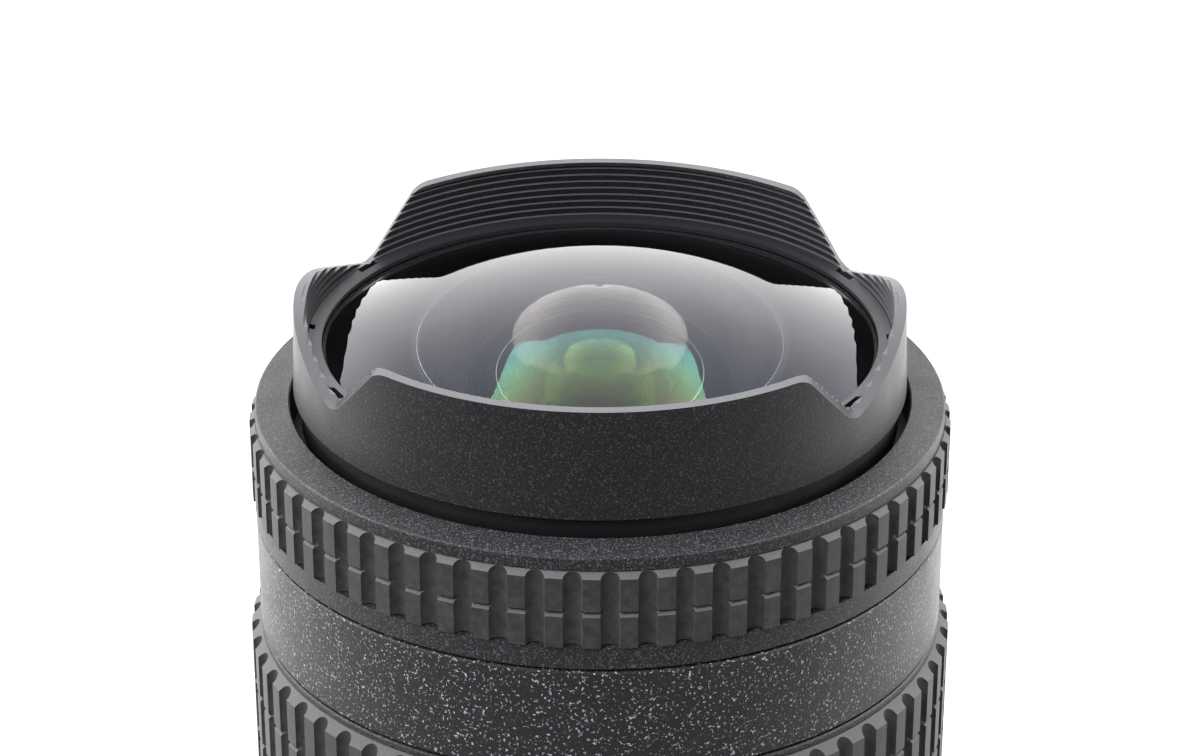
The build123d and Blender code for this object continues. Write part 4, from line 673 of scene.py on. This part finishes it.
class LENS_OT_switch_words(bpy.types.Operator):
    """Paint the two words beside the focus switch"""

    bl_idname = "lens.switch_words"
    bl_label = "Switch words"

    def execute(self, context):
        settings = context.scene.lens_settings
        low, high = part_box("focus_switch")
        middle = 0.5 * (low.z + high.z)
        low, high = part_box("outer_barrel")
        for word, side in (("AF", 1), ("MF", -1)):
            azimuth = SWITCH_AZIMUTH + side * settings.word_angle
            name = f"switch_word_{word}"
            paint_words(name, word, settings, settings.word_height, high.x, azimuth, middle, "lens_body")
        return {"FINISHED"}


class LENS_OT_mount_index(bpy.types.Operator):
    """Set the red bead that shows how the lens goes on the camera"""

    bl_idname = "lens.mount_index"
    bl_label = "Mount index"

    def execute(self, context):
        settings = context.scene.lens_settings
        low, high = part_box("rear_barrel")
        shape = bmesh.new()
        bmesh.ops.create_uvsphere(shape, u_segments=32, v_segments=16, radius=settings.bead_radius)
        bmesh.ops.rotate(shape, verts=shape.verts, matrix=Matrix.Rotation(pi / 2, 3, "X"))
        away = high.x - settings.bead_sink
        place = Vector((away * cos(SCALE_AZIMUTH), away * sin(SCALE_AZIMUTH), high.z - settings.bead_drop))
        bmesh.ops.translate(shape, verts=shape.verts, vec=place)
        finish_piece("mount_index_bead", shape, "lens_body", "red", smooth=True)
        return {"FINISHED"}


class LENS_OT_screw_cross_shades(bpy.types.Operator):
    """Draw a matt black cross on the head of each mount screw: painted shade that stands for its cross
    recess
    """

    bl_idname = "lens.screw_crosses"
    bl_label = "Screw crosses"

    def execute(self, context):
        settings = context.scene.lens_settings
        low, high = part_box("mount_screws")
        screw_ring = sqrt(2) * (high.x - settings.screw_head_radius)
        size = (settings.cross_length, settings.cross_width, 2 * settings.cross_rise)
        for number, azimuth in enumerate(MOUNT_SCREW_AZIMUTHS, 1):
            place = Vector((screw_ring * cos(azimuth), screw_ring * sin(azimuth), low.z))
            shape = bmesh.new()
            for turn in (0, pi / 2):
                bar = bmesh.ops.create_cube(shape, size=1.0)["verts"]
                bmesh.ops.scale(shape, verts=bar, vec=size)
                bmesh.ops.rotate(shape, verts=bar, matrix=Matrix.Rotation(azimuth + turn, 3, "Z"))
                bmesh.ops.translate(shape, verts=bar, vec=place)
            # Painted shade: a dull black cross stands for the shade in the recess
            finish_piece(f"mount_screw_cross_shade_{number}", shape, "lens_body", "baffle")
        return {"FINISHED"}


class LENS_OT_studio(bpy.types.Operator):
    """Set up the floor, the lamps and the camera"""

    bl_idname = "lens.studio"
    bl_label = "Studio"

    def execute(self, context):
        settings = context.scene.studio_settings
        make_floor(settings)
        make_world(context.scene)
        make_lamps()
        make_camera(context.scene, settings)
        context.scene.view_settings.view_transform = "Standard"
        return {"FINISHED"}


FLOOR_RADIUS = 3.0
FLOOR_SEGMENTS = 96
FLOOR_GAP = 0.02 * MM


def make_floor(settings):
    """A wide plain sweep, almost white to the camera. It lights the lens from behind alone."""
    mesh = bpy.data.meshes.new("studio_floor")
    shape = bmesh.new()
    bmesh.ops.create_circle(shape, cap_ends=True, radius=FLOOR_RADIUS, segments=FLOOR_SEGMENTS)
    bmesh.ops.translate(shape, verts=shape.verts, vec=(0, 0, CAD_BOX[0].z - FLOOR_GAP))
    shape.to_mesh(mesh)
    shape.free()
    floor = bpy.data.objects.new("studio_floor", mesh)
    bpy.context.scene.collection.objects.link(floor)
    material, tree = empty_material("studio_paper")
    place = add_node(tree, "ShaderNodeTexCoord").outputs["Object"]
    depth = add_node(tree, "ShaderNodeSeparateXYZ", links={0: place}).outputs["Y"]
    turn = {
        "From Min": -settings.sweep_turn,
        "From Max": settings.sweep_turn,
        "To Min": settings.sweep_dim,
        "To Max": settings.sweep_bright,
    }
    strength = add_node(tree, "ShaderNodeMapRange", turn, {"Value": depth})
    bounce = add_node(tree, "ShaderNodeEmission", {"Color": linear(WHITE)}, {"Strength": strength})
    matt = add_node(tree, "ShaderNodeBsdfDiffuse", {"Color": settings.floor_colour})
    glow = add_node(tree, "ShaderNodeEmission", {"Color": linear(WHITE), "Strength": 1.0})
    seen = add_node(tree, "ShaderNodeMixShader", {0: settings.sweep_glow}, {1: matt, 2: glow})
    camera = add_node(tree, "ShaderNodeLightPath").outputs["Is Camera Ray"]
    surface = add_node(tree, "ShaderNodeMixShader", links={0: camera, 1: bounce, 2: seen})
    add_node(tree, "ShaderNodeOutputMaterial", links={"Surface": surface})
    mesh.materials.append(material)


# The light of the studio's walls and ceiling: the directions between which it changes, and its strength
# at either end
BACK_WALL = {"From Min": -0.45, "From Max": 0.4, "To Min": 0.05, "To Max": 2.0}
SIDE_WALLS = {"From Min": 0.4, "From Max": 0.9, "To Min": 0.0, "To Max": 2.5}
CEILING = {"From Min": 0.45, "From Max": 1.0, "To Min": 1.0, "To Max": 0.5}


def make_world(scene):
    """White to the camera. The light comes from walls at the sides and the back, and the front is dim."""
    world = bpy.data.worlds.new("studio")
    scene.world = world
    world.use_nodes = True
    tree = world.node_tree
    tree.nodes.clear()
    direction = add_node(tree, "ShaderNodeTexCoord").outputs["Generated"]
    axes = add_node(tree, "ShaderNodeSeparateXYZ", links={0: direction}).outputs
    across = add_node(tree, "ShaderNodeMath", links={0: axes["X"]}, operation="ABSOLUTE")
    level = add_node(tree, "ShaderNodeMath", links={0: axes["Z"]}, operation="ABSOLUTE")
    back = add_node(tree, "ShaderNodeMapRange", BACK_WALL, {"Value": axes["Y"]})
    sides = add_node(tree, "ShaderNodeMapRange", SIDE_WALLS, {"Value": across})
    ceiling = add_node(tree, "ShaderNodeMapRange", CEILING, {"Value": level})
    walls = add_node(tree, "ShaderNodeMath", links={0: back, 1: sides}, operation="ADD")
    strength = add_node(tree, "ShaderNodeMath", links={0: walls, 1: ceiling}, operation="MULTIPLY")
    light = add_node(tree, "ShaderNodeBackground", {"Color": linear(WHITE)}, {"Strength": strength})
    white = add_node(tree, "ShaderNodeBackground", {"Color": linear(WHITE), "Strength": 1.0})
    camera = add_node(tree, "ShaderNodeLightPath").outputs["Is Camera Ray"]
    surface = add_node(tree, "ShaderNodeMixShader", links={0: camera, 1: light, 2: white})
    add_node(tree, "ShaderNodeOutputWorld", links={"Surface": surface})


# Each soft box: its place in metres, its power in watts and its width in metres
SOFT_BOXES = {
    "top_box": ((-0.1, 0.1, 0.8), 7.0, 0.6),
    "front_box": ((-0.2, -0.45, 0.55), 9.0, 0.3),
}
LAMP_AIM = Vector((0, 0, 45 * MM))


def make_lamps():
    """Two soft boxes overhead, kept out of the reflections so that the glass stays clean."""
    for name, (place, power, width) in SOFT_BOXES.items():
        lamp = bpy.data.lights.new(name, "AREA")
        lamp.energy = power
        lamp.size = width
        holder = bpy.data.objects.new(name, lamp)
        holder.location = place
        holder.rotation_euler = (LAMP_AIM - Vector(place)).to_track_quat("-Z", "Y").to_euler()
        holder.visible_glossy = False
        holder.visible_transmission = False
        bpy.context.scene.collection.objects.link(holder)


# Where the camera stands: its azimuth and elevation about the middle of the focus ring's shoulder
CAMERA_AZIMUTH = radians(2.2)
CAMERA_ELEVATION = radians(26.27)
CAMERA_PITCH = radians(26.05)
CAMERA_DISTANCE = 347.5 * MM
SHOULDER_HEIGHT = 58.6 * MM
SENSOR_WIDTH = 36.0
NEAREST_SEEN = 0.01


def make_camera(scene, settings):
    """The camera at the angle of the photograph."""
    data = bpy.data.cameras.new("photo_camera")
    data.lens = settings.focal_length
    data.sensor_width = SENSOR_WIDTH
    data.sensor_fit = "HORIZONTAL"
    data.clip_start = NEAREST_SEEN
    camera = bpy.data.objects.new("photo_camera", data)
    reach = CAMERA_DISTANCE * cos(CAMERA_ELEVATION)
    camera.location = (
        reach * sin(CAMERA_AZIMUTH),
        -reach * cos(CAMERA_AZIMUTH),
        SHOULDER_HEIGHT + CAMERA_DISTANCE * sin(CAMERA_ELEVATION),
    )
    camera.rotation_euler = (pi / 2 - CAMERA_PITCH, 0, CAMERA_AZIMUTH)
    scene.collection.objects.link(camera)
    scene.camera = camera


class LENS_PT_panel(bpy.types.Panel):
    """The lens in the sidebar"""

    bl_label = "Fisheye Lens"
    bl_space_type = "VIEW_3D"
    bl_region_type = "UI"
    bl_category = "Lens"

    def draw(self, context):
        layout = self.layout
        for settings in (context.scene.lens_settings, context.scene.studio_settings):
            for name in type(settings).__annotations__:
                layout.prop(settings, name)
        for operator in OPERATORS:
            layout.operator(operator.bl_idname)


OPERATORS = (
    LENS_OT_studio,
    LENS_OT_finishes,
    LENS_OT_zoom_scale,
    LENS_OT_switch_words,
    LENS_OT_mount_index,
    LENS_OT_screw_cross_shades,
)
CLASSES = (LensSettings, StudioSettings, *OPERATORS, LENS_PT_panel)


def register():
    """Registers the classes and hangs the panel's values on the scene."""
    for cls in CLASSES:
        bpy.utils.register_class(cls)
    bpy.types.Scene.lens_settings = bpy.props.PointerProperty(type=LensSettings)
    bpy.types.Scene.studio_settings = bpy.props.PointerProperty(type=StudioSettings)


def unregister():
    """Takes the panel's values and the classes away again."""
    del bpy.types.Scene.studio_settings
    del bpy.types.Scene.lens_settings
    for cls in reversed(CLASSES):
        bpy.utils.unregister_class(cls)


def main():
    """Makes the whole scene."""
    register()
    bpy.ops.lens.studio()
    bpy.ops.lens.finishes()
    bpy.ops.lens.zoom_scale()
    bpy.ops.lens.switch_words()
    bpy.ops.lens.mount_index()
    bpy.ops.lens.screw_crosses()


if __name__ == "__main__":
    main()
